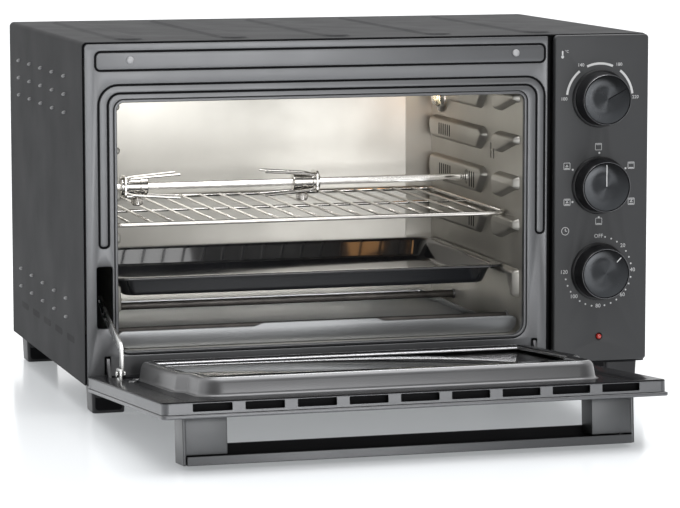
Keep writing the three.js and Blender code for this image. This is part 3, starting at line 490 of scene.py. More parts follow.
class Piece:
    """One Blender object made of several meshes, riding on a CAD body."""

    def __init__(self, name, body, *replaces, slot=None, space=CASING):
        self.name, self.body, self.replaces = name, body, replaces
        self.slot, self.space = slot, space
        self.mesh = bmesh.new()
        self.materials = []

    def add(self, mesh, mat, space=None):
        if mat not in self.materials:
            self.materials.append(mat)
        index = self.materials.index(mat)
        for face in mesh.faces:
            face.material_index = index
        part = bpy.data.meshes.new("part")
        mesh.to_mesh(part)
        mesh.free()
        part.transform(space or self.space)
        self.mesh.from_mesh(part)
        bpy.data.meshes.remove(part)
        return self

    def done(self, smooth=38):
        data = bpy.data.meshes.new(self.name)
        self.mesh.to_mesh(data)
        self.mesh.free()
        for mat in self.materials:
            data.materials.append(MAT[mat])
        data.shade_smooth()
        data.set_sharp_from_angle(angle=math.radians(smooth))
        made = bpy.data.objects.new(self.name, data)
        bpy.context.scene.collection.objects.link(made)
        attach(made, self.body)
        if self.replaces:
            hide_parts(*self.replaces)


def refine(node, body, mat, width):
    """A copy of a CAD solid with its sharp edges rounded."""
    mesh = bmesh.new()
    mesh.from_mesh(frame["nodes"][node].data)
    bmesh.ops.remove_doubles(mesh, verts=mesh.verts, dist=1e-6)
    bmesh.ops.dissolve_limit(mesh, angle_limit=math.radians(1), verts=mesh.verts,
                             edges=mesh.edges)
    sharp = [e for e in mesh.edges if len(e.link_faces) == 2
             and e.calc_face_angle(0) > math.radians(32)]
    bmesh.ops.bevel(mesh, geom=sharp, offset=width * 0.001, segments=2, profile=0.5,
                    affect="EDGES", clamp_overlap=True)
    Piece(node + "_finished", body, node).add(mesh, mat, Matrix.Identity(4)).done()


# ---------------------------------------------------------------- casing
WIDTH, DEPTH, TOP, BASE = 480, 320, 300, 23.5
CAVITY = (27.7, 372)
LINER_Z = (46, 270)
LUGS_X = (18.35, 381.6)
RIB_PITCH, RIB_HALF, RIB_EDGE, RIB_HEIGHT = 87, 12, 1.6, 1.2


def cover():
    """One sheet bent over both sides and the top, with pressed ribs and punched sides."""
    radius, start, end = 4, 2.2, DEPTH
    left = [(0, BASE), (0, 60), (0, 120), (0, 200), (0, 260), (0, TOP - radius)]
    left += arc(radius, TOP - radius, radius, 180, 90)[1:]
    path = left + [(radius + 2.0 * i, TOP) for i in range(1, 236)]
    path += [(WIDTH - x, z) for x, z in reversed(left)]
    rows = [start, start + 0.4] + [7 + 3 * i for i in range(104)] + [end]

    def rib(x, y):
        lift = 0
        for i in range(5):
            across = abs(x - (45 + RIB_PITCH * i))
            along = max(34 - y, y - (DEPTH - 34), 0)
            away = math.hypot(across, along * 0.8) if along else across
            t = min(1, max(0, (RIB_HALF - away) / RIB_EDGE))
            lift = max(lift, t * t * (3 - 2 * t))
        return lift

    mesh = bmesh.new()
    grid = []
    for k, y in enumerate(rows):
        tuck = 0.4 if k == 0 else 0
        line = []
        for x, z in path:
            dx = tuck if x < radius else (-tuck if x > WIDTH - radius else 0)
            dz = -tuck if z > TOP - radius else 0
            top = z + dz + (RIB_HEIGHT * rib(x, y) if z > TOP - 0.01 else 0)
            line.append(mesh.verts.new((x + dx, y, top)))
        grid.append(line)
    for low, high in zip(grid, grid[1:]):
        for i in range(len(path) - 1):
            mesh.faces.new((low[i], low[i + 1], high[i + 1], high[i]))
    bmesh.ops.solidify(outward(mesh), geom=mesh.faces[:], thickness=0.8)
    piece = Piece("cover_sheet", "casing", "outer_cover").add(mesh, "cover")
    for side, way in ((0, 1), (WIDTH, -1)):
        for column in range(5):
            y = 77 + 50.3 * column
            for z in (268.5, 253.5, 238.5, 85, 69.5):
                # the nibs take the lighter nib paint: painted highlight on the dimples
                piece.add(nib(side, y, z, -way), "nib")
            # the side slots are dark plates set into the sheet, not holes: painted shade
            y = 59 + 50.4 * column
            slot = rounded(y - 15, y + 15, 51.5, 57, 2.6, steps=4)
            levels = [(0, side - way * 0.06), (0, side + way * 0.6)]
            piece.add(plate(slot, [], "x", levels), "groove")
    piece.done(35)


def nib(x, y, z, way):
    """A small teardrop dimple pressed outwards from a side."""
    mesh = bmesh.new()
    bmesh.ops.create_uvsphere(mesh, u_segments=16, v_segments=8, radius=1)
    for v in mesh.verts:
        v.co.z -= 0.35 * v.co.y
    shape = (Matrix.Translation((x, y, z)) @ Matrix.Rotation(way * 0.06, 4, "X")
             @ Matrix.Diagonal((1.3, 8.0, 1.5, 1)))
    return moved(mesh, shape)


def arch(d):
    """The outline of the band over the opening, moved inwards by d."""
    x0, x1, top, big = 11.8 + d, 390.4 - d, 266.3 - d, 17 - d
    i0, i1, under, small = 21.2 - d, 381.6 + d, 257.9 + d, 9 + d
    r, foot = 4 - d, 134 + d
    return (arc(x0 + r, foot + r, r, 180, 270) + arc(i0 - r, foot + r, r, 270, 360)
            + arc(i0 + small, under - small, small, 180, 90)
            + arc(i1 - small, under - small, small, 90, 0)
            + arc(i1 + r, foot + r, r, 180, 270) + arc(x1 - r, foot + r, r, 270, 360)
            + arc(x1 - big, top - big, big, 0, 90) + arc(x0 + big, top - big, big, 90, 180))


def front():
    """The pressed front sheet: islands and a rolled rim stand between grooves whose dark floors
    are painted shade.
    """
    gap, corner_radius = 1.6, 3.2
    outline = rounded(gap, 392.2, BASE + 0.2, TOP - gap, 0.8, steps=4)
    outline = [p for p in outline if p[0] > 100 or p[1] < 100]
    corner = arc(gap + corner_radius, TOP - gap - corner_radius, corner_radius, 90, 180, 6)
    at = next(i for i, p in enumerate(outline) if p[0] < 100 and p[1] < 100)
    outline = outline[:at] + corner + outline[at:]
    opening = rounded(*CAVITY, 50, 251.3, 10, 6, 8)
    rim = inset(opening, -2.3)
    seam = inset(opening, -2.9)
    slots = [rounded(9.9, 23.2, 69.3, 119.7, 2, steps=4)]
    slots += [rounded(x - 2.5, x + 2.5, 31.7, 46.6, 0.5, steps=2) for x in LUGS_X]
    strip = rounded(9.6, 390.4, 276.3, 293, 5)
    sheet = edge_round(0, 0.55, 0.4, 0)
    piece = Piece("front_sheet", "casing", "front_frame")
    piece.add(plate(outline, [seam, *slots, strip, arch(0)], "y", sheet), "front")
    for island in (inset(strip, 1.7), arch(1.7)):
        piece.add(plate(island, [], "y", sheet), "front")
    piece.add(plate(rim, [opening], "y", edge_round(-0.1, 0.6, 0.6, 0)), "front")
    lip = ((-1.0, 0.1), (-0.5, 0.3), (-0.1, 0.9), (0.1, 2.0), (0.1, 4.5), (-0.6, 4.5),
           (-1.0, 1.6))
    piece.add(band(opening, "y", lip), "front")
    # a dark layer behind the sheet shows through the grooves: painted shade
    back = inset(outline, -0.5)
    holes = [opening] + [inset(slot, 0.3) for slot in slots]
    piece.add(plate(back, holes, "y", [(0, 0.5), (0, 1.5)]), "groove")
    # dark slabs fill the channel between the front sheet and the panel: painted shadow gap
    piece.add(slab((390.8, 1.5, 26), (392.4, 10, 298), 0.3, 0.2), "inside")
    piece.add(slab((390.8, 8.4, 26), (402, 10, 298), 0.3, 0.2), "inside")
    piece.done(40)


def panel():
    low, high = extent("control_panel")
    outline = rounded(low.x, high.x, low.z, high.z, 3.2)
    lens_x, _, lens_z = middle("indicator_lens")
    holes = [circle(KNOB_X, z, 3.6) for z in KNOB_Z.values()] + [circle(lens_x, lens_z, 2.6)]
    piece = Piece("panel_sheet", "casing", "control_panel")
    piece.add(plate(outline, holes, "y", edge_round(low.y, 1.6, 1.3, 0.3, 4)), "panel")
    # a dark frame behind the panel's edges and a dark block under it, where the floor would show:
    # painted shade
    skirt = rounded(low.x, high.x - 4, low.z + 2, high.z - 4.5, 2, steps=3)
    piece.add(plate(skirt, [inset(skirt, 1.5)], "y", [(0, 1.4), (0, high.y)]), "inside")
    piece.add(slab((396.5, 3, 19.5), (445, 5, 27), 0.5, 0.3), "inside")
    piece.done(40)


def screw_head(x, y, z, way):
    """A pan head that stands out from y."""
    dome = [(0, 1.5), (2.16, 1.42), (2.7, 1.2), (3, 0.7), (3, 0), (0, 0)]
    return lathe([(r, y + way * h) for r, h in dome], "y", (x, 0, z), 32)


def fasteners():
    for i in (1, 2):
        x, _, z = middle(f"frame_screw_{i}")
        piece = Piece(f"frame_screw_{i}_head", "casing", f"frame_screw_{i}")
        piece.add(screw_head(x, -0.2, z, -1), "screw").done()
        x, _, z = middle(f"door_screw_{i}", DOOR)
        piece = Piece(f"door_screw_{i}_head", "door", f"door_screw_{i}", space=DOOR)
        piece.add(screw_head(x, 4, z, 1), "dark_steel")
        # the dark cross on each head stands for its recess: painted shade
        for turn in (0.35, 0.35 + math.pi / 2):
            arm = slab((-1.8, -0.1, -0.42), (1.8, 0.1, 0.42), 0.1, 0.05)
            place = Matrix.Translation((x, 5.5, z)) @ Matrix.Rotation(turn, 4, "Y")
            piece.add(moved(arm, place), "groove")
        piece.done()


# ---------------------------------------------------------------- cavity
def guide_pad(points, face, inward):
    """A pad pressed into the cavity, with soft shoulders."""
    steps = ((-0.3, -0.4), (0, 0.5), (0.5, 1.8), (1.2, 3.4), (2.0, 4.7), (3.0, 5.3), (3.8, 5.5))
    return plate(points, [], "x", [(d, face + inward * h) for d, h in steps])


def soften(points, r, steps=4):
    """Rounds every corner of a polygon."""
    out = []
    for i, p in enumerate(points):
        p = Vector(p)
        a, b = Vector(points[i - 1]), Vector(points[(i + 1) % len(points)])
        reach = min(r, (a - p).length * 0.45, (b - p).length * 0.45)
        start, end = p + (a - p).normalized() * reach, p + (b - p).normalized() * reach
        for t in (k / steps for k in range(steps + 1)):
            out.append(tuple(start * (1 - t) ** 2 + p * 2 * t * (1 - t) + end * t * t))
    return out


def cavity_side(side):
    left = side == "left"
    face, inward = (CAVITY[0], 1) if left else (CAVITY[1], -1)
    tops = (103.1, 146.1, 181.2, 215.5, 251.3)
    fronts = (24, 11, 11.5, 8, 8.5)
    outline = rounded(2.2, 255.7, *LINER_Z, 0.5, steps=1)
    holes = []
    if not left:
        spit_hole, lamp_hole = circle(137.7, 169.6, 7.6), circle(226, 233, 9)
        holes += [rounded(y, y + 2.8, 190, 203.5, 1.2, steps=3) for y in (79, 86.5)]
        holes += [spit_hole, lamp_hole]
    piece = Piece(f"cavity_{side}_sheet", "casing", f"cavity_{side}_wall")
    piece.add(plate(outline, holes, "x", [(0, face - inward * 0.6), (0, face)]), "liner")
    for level, (top, height) in enumerate(zip(tops, fronts)):
        low = top - height
        rear = 200 if level == 4 else 250
        if level == 0:
            pads = [[(12, low), (22, low), (34, top - 7), (236, top - 7), (246, top), (12, top)]]
        else:
            pads = [[(12, low), (20, low), (58, low - 10), (70, low - 10), (74, top - 5),
                     (66, top), (12, top)],
                    [(96, top - 6), (112, low - 12), (rear - 6, low - 12), (rear, low),
                     (rear - 4, top), (104, top)]]
        for pad in pads:
            piece.add(guide_pad(soften(pad, 4), face, inward), "liner")
    if not left:
        # the vent slots are dark plates on the pads, not holes: painted shade
        crest = face + inward * 5.4
        vents = [(185 + 6 * i, 200, 210.5) for i in range(6)]
        vents += [(183 + 6 * i, 162, 175) for i in range(6)]
        vents += [(y, *span) for span in ((161.5, 175.5), (128, 140)) for y in (116, 122, 128)]
        for y, z0, z1 in vents:
            slot = rounded(y, y + 2.6, z0, z1, 1.2, steps=3)
            piece.add(plate(slot, [], "x", [(0, crest + 1), (0, crest + inward * 0.17)]),
                      "inside")
    piece.done(50)


def cavity_rear():
    y = 256
    outline = rounded(CAVITY[0] - 0.6, CAVITY[1] + 0.6, *LINER_Z, 0.5, steps=1)
    recess = rounded(51.7, 348, 76, 248, 10, steps=8)
    piece = Piece("cavity_rear_sheet", "casing", "cavity_rear_wall")
    piece.add(plate(outline, [recess], "y", [(0, y), (0, y + 0.6)]), "liner")
    levels = ((0, 0.3), (-0.6, 0), (0.4, 0.3), (1.6, 1.4), (6.2, 5.8), (7.4, 6.8), (8.6, 7),
              (8.6, 7.6), (0, 1.2))
    piece.add(plate(recess, [], "y", [(d, y + h) for d, h in levels]), "liner")
    piece.done(50)


def heating_rods():
    for node in (f"{level}_heating_rod_{row}" for level in ("lower", "upper")
                 for row in ("front", "rear")):
        low, high = extent(node)
        centre = (0, *middle(node)[1:])
        piece = Piece(f"{node}_sheath", "casing", node)
        piece.add(rod("x", centre, 3.2, low.x, high.x, 0.4), "heater")
        for x0, x1 in ((27.9, 29.4), (370.3, 371.8)):
            piece.add(rod("x", centre, 4.4, x0, x1, 0.4), "dark_steel")
        piece.done()


def lamp():
    x, centre = extent("lamp_cover")[1].x, (0, *middle("lamp_cover")[1:])
    dome = [(9.3, -0.4), (9.2, -2.2), (8.9, -4.4), (7.8, -6.6), (5.6, -8.2), (2.8, -8.9),
            (0, -9.1), (0, -8.0), (2.6, -7.9), (5.0, -7.2), (6.9, -5.8), (7.9, -4.0),
            (8.2, -2.2), (8.2, -0.4)]
    piece = Piece("lamp_cover_glass", "casing", "lamp_cover")
    piece.add(lathe([(r, x + h) for r, h in dome], "x", centre), "lamp_glass")
    ring = [(9.2, -0.3), (9.2, -2.4), (10, -3.2), (12, -3.0), (13.6, -1.8), (14, -0.3)]
    piece.add(lathe([(r, x + h) for r, h in ring], "x", centre), "steel")
    piece.done()
    low, high = extent("oven_lamp")
    bulb = [(0, low.x), (4, low.x + 0.8), (6.6, low.x + 3), (7.8, low.x + 7), (7, low.x + 14),
            (5.8, low.x + 20), (5.8, high.x), (0, high.x)]
    Piece("lamp_bulb", "casing", "oven_lamp").add(lathe(bulb, "x", centre), "bulb").done()


def rack():
    rim = 1.9
    (x0, y0, z), (x1, y1, _) = extent("wire_rack")
    x0, x1, y0, y1, z = x0 + rim, x1 - rim, y0 + rim, y1 - rim, z + rim
    piece = Piece("rack_wires", "wire_rack", "wire_rack")
    corners = [(x0, y0, z), (x1, y0, z), (x1, y1, z), (x0, y1, z)]
    piece.add(wire(corners, rim, 12, closed=True, sides=14), "chrome")
    for i in range(1, 19):
        x = x0 + (x1 - x0) * i / 19
        run = [(x, y0 + 0.4, z - 0.2), (x, y0 + 4, z + 0.6), (x, y1 - 4, z + 0.6),
               (x, y1 - 0.4, z - 0.2)]
        piece.add(wire(run, 1.2, 1.5, sides=10), "chrome")
    y = (y0 + y1) / 2
    piece.add(wire([(x0, y, z - 0.5), (x1, y, z - 0.5)], 1.3, sides=10), "chrome")
    piece.done(60)


def tray():
    low, high = extent("baking_tray")
    floor, rim = low.z, high.z
    under = ((17.5, 8, floor), (15.6, 9, floor + 0.5), (14.6, 10, floor + 1.8),
             (10, 12, rim - 3.6), (8.8, 13, rim - 1.8), (7.6, 14, rim - 1.2), (1.2, 16, rim - 1.2),
             (0.3, 17, rim - 1.8), (0, 17, rim - 1.0))
    over = ((0.4, 17, rim - 0.2), (1.4, 16, rim), (7.8, 14, rim), (9.4, 13, rim - 0.5),
            (10.8, 12, rim - 2.4), (15.6, 9, floor + 3), (16.6, 8, floor + 1.7),
            (18.5, 7, floor + 1.2))
    skin = [(low.x + d, high.x - d, low.y + d, high.y - d, r, z) for d, r, z in under + over]
    Piece("tray_pressing", "baking_tray", "baking_tray").add(loft(skin), "tray_enamel").done(60)


def crumb():
    (x0, y0, z), (x1, y1, top) = extent("crumb_tray")
    lip, mid = top - 2.5, (x0 + x1) / 2
    half = arc(x1 - 9, z + 9, 9, -90, 0, 6) + arc(x1 - 5, lip - 5, 5, 0, 90, 6)
    half += [(mid + 58, lip), (mid + 55, lip + 0.2), (mid + 49, lip + 2.3), (mid + 46, top)]
    outline = half + [(2 * mid - u, v) for u, v in reversed(half)]
    piece = Piece("crumb_pressing", "crumb_tray", "crumb_tray")
    piece.add(plate(outline, [], "y", edge_round(y0, y0 + 1.2, 0.5, 0.5)), "crumb")
    roll = [(u, y0 + 1.1, v - 0.9) for u, v in outline if v > lip - 5]
    piece.add(wire(roll, 1.05, 0.4, sides=10), "crumb")
    base = rounded(x0 + 9, x1 - 9, y0 + 0.8, y1, 4, steps=4)
    piece.add(plate(base, [], "z", edge_round(z, z + 0.8, 0.2, 0.3, 2)), "crumb")
    wall = inset(base, 0.1)
    piece.add(plate(wall, [inset(wall, 0.9)], "z", edge_round(z + 0.2, z + 6, 0.1, 0.3, 2)),
              "crumb")
    piece.done(50)


# ---------------------------------------------------------------- rotisserie
def fork(side):
    node = f"{side}_fork"
    low, high = extent(node)
    y, z = SPIT
    way = 1 if side == "left" else -1
    x = low.x if way == 1 else high.x
    at = lambda d: x + way * d
    piece = Piece(f"{node}_body", node, node)
    collar = [(3.4, 0), (7.0, 0), (7.5, 0.5), (7.5, 6), (6.9, 6.6), (6.9, 16), (7.5, 16.6),
              (7.5, 22.5), (7.0, 23), (3.4, 23)]
    piece.add(lathe([(r, at(h)) for r, h in collar], "x", (0, y, z), 48), "chrome")
    for sy in (-1, 1):
        for sz in (-1, 1):
            run = [(at(1.5), y + sy * 5.2, z + sz * 4.6), (at(9), y + sy * 7.4, z + sz * 7.0),
                   (at(24), y + sy * 8.2, z + sz * 8.2), (at(49.6), y + sy * 10, z + sz * 10)]
            piece.add(wire(run, 1.15, 3.5, sides=10), "chrome")
    plate_in = rounded(y - 3.4, y + 3.4, z - 3.4, z + 3.4, 0.4, steps=2)
    yoke = rounded(y - 9.4, y + 9.4, z - 9.4, z + 9.4, 3, steps=5)
    ends = sorted((at(2), at(4)))
    piece.add(plate(yoke, [plate_in], "x", edge_round(*ends, 0.4, 0.4, 2)), "chrome")
    piece.done(40)


def thumbscrew(side):
    node = f"{side}_thumbscrew"
    low, high = extent(node)
    x, y, _ = middle(node)
    piece = Piece(f"{node}_body", node, node)
    stem = [(0, high.z), (1.9, high.z), (1.9, high.z - 5.4), (3.4, high.z - 5.6),
            (4.6, high.z - 6.4), (4.6, low.z + 0.8), (3.8, low.z), (0, low.z)]
    piece.add(lathe(stem, "z", (x, y, 0), 40), "chrome")
    for i in range(18):
        a = 2 * math.pi * i / 18
        spot = (x + 4.55 * math.cos(a), y + 4.55 * math.sin(a), 0)
        piece.add(rod("z", spot, 0.42, low.z + 1.2, high.z - 7.0, 0.2, 8), "chrome")
    piece.done(40)


def rotisserie():
    low, high = extent("spit_shaft")
    y, z = SPIT
    piece = Piece("spit_bar", "spit", "spit_shaft", "drive_socket")
    square = rounded(-3, 3, -3, 3, 0.5, steps=2)
    piece.add(sweep([(37.5, y, z), (high.x, y, z)], square), "chrome")
    point = ((0, 0), (1.4, 0.4), (2.6, 2.4), (2.6, 7), (3, 7.6), (0, 7.6))
    piece.add(lathe([(r, low.x + h) for r, h in point], "x", (0, y, z), 32), "chrome")
    a, b = (end.x for end in extent("drive_socket"))
    sleeve = [(3.3, a + 0.6), (3.9, a), (6.4, a), (7, a + 0.6), (7, b), (3.3, b)]
    piece.add(lathe(sleeve, "x", (0, y, z), 48), "steel")
    piece.done(40)
    low, high = extent("rotisserie_motor")
    motor = Piece("motor_casing", "casing", "rotisserie_motor")
    motor.add(slab(low, (398, high.y, high.z), 4, 1, "x"), "steel")
    motor.add(rod("x", (0, y, z - 4), 19, 397.5, high.x, 1.5, 48), "steel")
    motor.done()
    for side in ("left", "right"):
        fork(side)
        thumbscrew(side)
    refine("spit_support", "casing", "steel", 0.25)


# ---------------------------------------------------------------- controls
KNOB_X = middle("temperature_knob")[0]
KNOB_Z = {name: middle(f"{name}_knob")[2] for name in ("temperature", "function", "timer")}
KNOB_SIDES = 96
PRINT_Y = extent("control_panel")[0].y - 0.05
SPIT = middle("spit_shaft")[1:]


def knob(name, clock, inner, outer, ink):
    """A turned knob with its index line at an angle clockwise from the top."""
    low, high = extent(f"{name}_knob")
    back, front, centre = high.y, low.y, (KNOB_X, 0, KNOB_Z[name])
    piece = Piece(f"{name}_knob_body", f"{name}_control", f"{name}_knob")
    base = [(3.4, back), (23.6, back), (24.3, back - 0.5), (24.2, back - 1.3),
            (23.4, back - 1.9), (22.4, back - 2.2), (22.0, back - 3), (21.4, front + 2.0),
            (20.9, front + 1.3), (20.7, front + 1.3), (20.7, front + 6), (3.4, front + 6)]
    piece.add(lathe(base, "y", centre, KNOB_SIDES), "knob_side")
    rim = [(20.9, front + 1.5), (20.9, front + 0.3), (20.7, front), (20.5, front),
           (20.3, front + 0.3), (20.3, front + 1.5)]
    piece.add(lathe(rim, "y", centre, KNOB_SIDES), "knob_rim")
    # a dark disc behind the face shows in the gap round it: painted shade
    well = [(0, front + 1.3), (20.4, front + 1.3), (20.4, front + 2.2), (0, front + 2.2)]
    piece.add(lathe(well, "y", centre, KNOB_SIDES), "groove")
    hand = slab((-0.42, front + 0.12, inner), (0.42, front + 0.5, outer), 0.4, 0.1)
    turn = Matrix.Translation(centre) @ Matrix.Rotation(math.radians(clock), 4, "Y")
    piece.add(moved(hand, turn), ink)
    piece.done(35)
    face = Piece(f"{name}_knob_face", f"{name}_control", slot="knob")
    disc = [(0, front + 0.30), (10, front + 0.28), (19.2, front + 0.25), (19.7, front + 0.5),
            (19.7, front + 1.2), (0, front + 1.2)]
    face.add(lathe(disc, "y", centre, KNOB_SIDES), "spun")
    face.done(35)


def arc_mark(z, start, end):
    """A printed arc between two angles, anticlockwise from the right, round a knob."""
    return flat(arc(KNOB_X, z, 29.95, start, end, 24) + arc(KNOB_X, z, 28.05, end, start, 24))


def flat(outline, holes=()):
    return plate(outline, list(holes), "y", [(0, PRINT_Y + 0.04), (0, PRINT_Y - 0.03)])


def frame_mark(x, z):
    outer, inner = [rounded(x - half, x + half, z - half, z + half, r, steps=2)
                    for half, r in ((2.9, 0.6), (2.54, 0.4))]
    return flat(outer, [inner])


def line_mark(x0, x1, z, width=0.55):
    return flat(rounded(x0, x1, z - width / 2, z + width / 2, width * 0.4, steps=2))


def zigzag(x0, x1, z):
    """A row of five teeth: the sign for a grill element."""
    ups = [(x0 + (x1 - x0) * i / 10, z + (0.9 if i % 2 else 0)) for i in range(11)]
    return flat(ups + [(u, v - 0.45) for u, v in reversed(ups)])


def prints():
    piece = Piece("panel_print", "casing", slot="front")
    mark = lambda mesh: piece.add(mesh, "print")
    z = KNOB_Z["temperature"]
    for start, end in ((128, 173), (67, 113), (7, 52)):
        mark(arc_mark(z, start, end))
    for text, angle, reach in (("100", 180, 31.4), ("140", 121, 32.6), ("180", 59, 32.6),
                               ("220", 1, 31.6)):
        a = math.radians(angle)
        spot = (KNOB_X + reach * math.cos(a), z + reach * math.sin(a))
        mark(lettering(text, 3.9, spot))
    x, z = 403.6, z + 36.4
    mark(flat(rounded(x - 0.6, x + 0.6, z - 1, z + 3.6, 0.5, steps=3)))
    mark(flat(circle(x, z - 1.4, 1.25)))
    mark(lettering("°C", 2.9, (x + 3.8, z + 3.0)))
    function_marks(mark, KNOB_Z["function"])
    timer_marks(mark, KNOB_Z["timer"])
    piece.done(30)


def function_marks(mark, z):
    for i, (du, dv) in enumerate(((-0.8, 32.2), (28.3, 15.9), (28.7, -14.4), (0, -30.4),
                                  (-28.2, -13.6), (-28.5, 16.5))):
        x, at = KNOB_X + du, z + dv
        mark(frame_mark(x, at))
        angle = math.radians(90 - 60 * i)
        mark(flat(circle(KNOB_X + 27.0 * math.cos(angle), z + 27.0 * math.sin(angle), 0.85, 16)))
        if i:
            mark(line_mark(x - 2.1, x + 2.1, at - 1.9))
        if i in (0, 1, 2):
            mark(zigzag(x - 2.2, x + 2.2, at + 1.6))
        if i in (2, 4, 5):
            for k in range(3):
                a = math.radians(90 + 120 * k)
                mark(flat(circle(x + 0.75 * math.cos(a), at + 0.75 * math.sin(a), 0.5, 10)))
        if i == 4:
            mark(line_mark(x - 2.1, x + 2.1, at + 1.9))


def timer_marks(mark, z):
    labels = {0: "OFF", 4: "20", 8: "40", 12: "60", 16: "80", 20: "100", 24: "120"}
    for i in range(25):
        angle = math.radians(90 - 11.25 * i)
        x, at = KNOB_X + 29.4 * math.cos(angle), z + 29.4 * math.sin(angle)
        if i in labels:
            mark(lettering(labels[i], 4.6, (x + 1.1 * math.cos(angle), at + 0.3)))
        else:
            mark(flat(circle(x, at, 0.72, 14)))
    x, z = 407, z + 34.7
    mark(flat(circle(x, z, 3.4, 32), [circle(x, z, 2.95, 32)]))
    mark(flat(rounded(x - 0.25, x + 0.25, z, z + 2.2, 0.1, steps=1)))
    mark(line_mark(x, x + 1.7, z, 0.5))


def controls():
    knob("temperature", 62, 1.0, 18.8, "groove")
    knob("function", 0, 0.5, 18.4, "print")
    knob("timer", 45, 13.5, 18.8, "print")
    prints()
    low, high = extent("indicator_lens")
    x, _, z = middle("indicator_lens")
    dome = [(0, low.y), (0.9, low.y + 0.12), (1.7, low.y + 0.6), (2.2, low.y + 1.5),
            (2.2, high.y), (0, high.y)]
    piece = Piece("indicator_lens_dome", "casing", "indicator_lens")
    piece.add(lathe(dome, "y", (x, 0, z), 40), "lens").done()


# ---------------------------------------------------------------- door
def ring_loop(d=0.0):
    """The outline of the raised ring round the window, moved inwards by d."""
    x0, x1, low, high, step = 35, 364.6, 24.5, 221, 7
    r, wide = 13 - 0.6 * d, 18 - 0.6 * d
    right = [(x1 - d, 158), (x1 - d - 0.5, 161), (x1 - d - step + 0.5, 171),
             (x1 - d - step, 174)]
    left = [(x0 + d + step, 174), (x0 + d + step - 0.5, 171), (x0 + d + 0.5, 161),
            (x0 + d, 158)]
    return (arc(x1 - d - r, low + d + r, r, -90, 0) + right
            + arc(x1 - d - step - wide, high - d - wide, wide, 0, 90)
            + arc(x0 + d + step + wide, high - d - wide, wide, 90, 180)
            + left + arc(x0 + d + r, low + d + r, r, 180, 270))


def door_face():
    """The inner pressing: face, side walls with vent slots, and the raised hollow ring."""
    frame_low, frame_high = extent("door_frame", DOOR)
    x0, x1, low, high = frame_low.x - 1.2, frame_high.x + 0.2, frame_low.z, frame_high.z
    top, back = 4.0, -5.2
    notched = []
    for x in LUGS_X:
        notched += [(x - 2.6, low), (x - 2.6, 20), (x + 2.6, 20), (x + 2.6, low)]
    outline = rounded(x0, x1, low, high, 5) + notched
    piece = Piece("door_pressing", "door", "door_frame", space=DOOR)
    dish = rounded(22, x1 - 21, 14, high - 6, 12)
    piece.add(plate(outline, [inset(dish, -1.0)], "y", edge_round(top, 2.6, 1.2, 0, 4)), "door")
    shoulder = ((-1.2, top - 0.1), (0, top - 0.35), (1.0, top - 1.3), (1.2, top - 1.5),
                (-1.2, top - 1.5))
    piece.add(band(dish, "y", shoulder), "door")
    piece.add(plate(inset(dish, 0.8), [ring_loop(1.0)], "y", [(0, top - 1.3), (0, top - 2.3)]),
              "door")
    for way, x, start in ((1, x0, 180), (-1, x1, 0)):
        outer, inner = [arc(x + way * 5, high - 5, r, start, 90, 6) for r in (5, 3.8)]
        wall = [(x, 4), *outer, *inner[::-1], (x + way * 1.2, 4)]
        piece.add(plate(wall, [], "y", [(0, back), (0, 3.0)]), "front")
    for a, b in ((x0, 15.6), (21.1, 378.9), (384.3, x1)):
        piece.add(slab((a, -4, low), (b, 3.0, low + 1.2), 0.2, 0.2), "door")
    for x in (x0, x1 - 1.2):
        piece.add(slab((x, back, low), (x + 1.2, 3.0, 5), 0.2, 0.2), "front")
    end = rounded(x0 + 5, x1 - 5, back, 3.0, 0.1, steps=1)
    middle = (frame_low.x + frame_high.x - 0.4) / 2
    slots = [rounded(middle + 39.7 * i - 15, middle + 39.7 * i + 15, -3.5, 2.5, 0.7, steps=3)
             for i in range(-4, 5)]
    piece.add(plate(end, slots, "z", [(0, high - 1.2), (0, high)]), "front")
    # a dark slab inside the door behind the top vent slots: painted shade
    piece.add(slab((8, -4.6, high - 9), (x1 - 6, 2.4, high - 7), 0.3, 0.2), "inside")
    crown = 17
    wall = ((-2.6, 2.2), (-2.4, 2.9), (-1.0, 3.2), (-0.1, 4.2), (0.2, 5.6), (1.3, crown - 4.6),
            (2.0, crown - 2.6), (3.0, crown - 1.2), (4.6, crown - 0.3), (4.6, crown - 1.5),
            (3.2, crown - 3.4), (2.2, 5.6), (1.6, 1.2), (-1, 1.2))
    # the ring walls take the lighter ring paint while the crown stays dark: painted sheen on the
    # walls
    piece.add(band(ring_loop(), "y", wall), "ring")
    # the bead and lip bands on the crown are painted highlights along its edges
    ridge = ((4.4, 0.4), (6.0, 0), (8.8, 0), (10.6, 0.3), (11.6, 1.1), (12.0, 2.2), (12.0, 3.1),
             (4.4, 3.1))
    bead = ((3.9, 0.55), (4.5, 0.15), (5.2, -0.05), (5.2, 0.8))
    lip = ((11.5, 1.3), (11.9, 0.9), (12.5, 1.2), (12.7, 2.0), (12.5, 3.1), (11.5, 3.1))
    for profile, mat in ((ridge, "door"), (bead, "bead_painted_highlight"), (lip, "rim")):
        piece.add(band(ring_loop(), "y", [(d, crown - drop) for d, drop in profile]), mat)
    piece.done(42)


def door_panel():
    low, high = extent("door_outer_panel", DOOR)
    outline = rounded(low.x, high.x, low.z, high.z, 4)
    window = rounded(62, 333, 45, 196, 6)
    piece = Piece("door_outer_sheet", "door", "door_outer_panel", space=DOOR)
    piece.add(plate(outline, [window], "y", edge_round(low.y, -5.6, 1.2, 0.9, 4)), "front")
    piece.done(40)
    pane = Piece("door_pane", "door", "door_glass", space=DOOR)
    back, front_face = extent("door_glass", DOOR)
    pane.add(plate(ring_loop(6), [], "y", edge_round(back.y, front_face.y, 0.4, 0.4, 2)),
             "glass")
    pane.done(40)


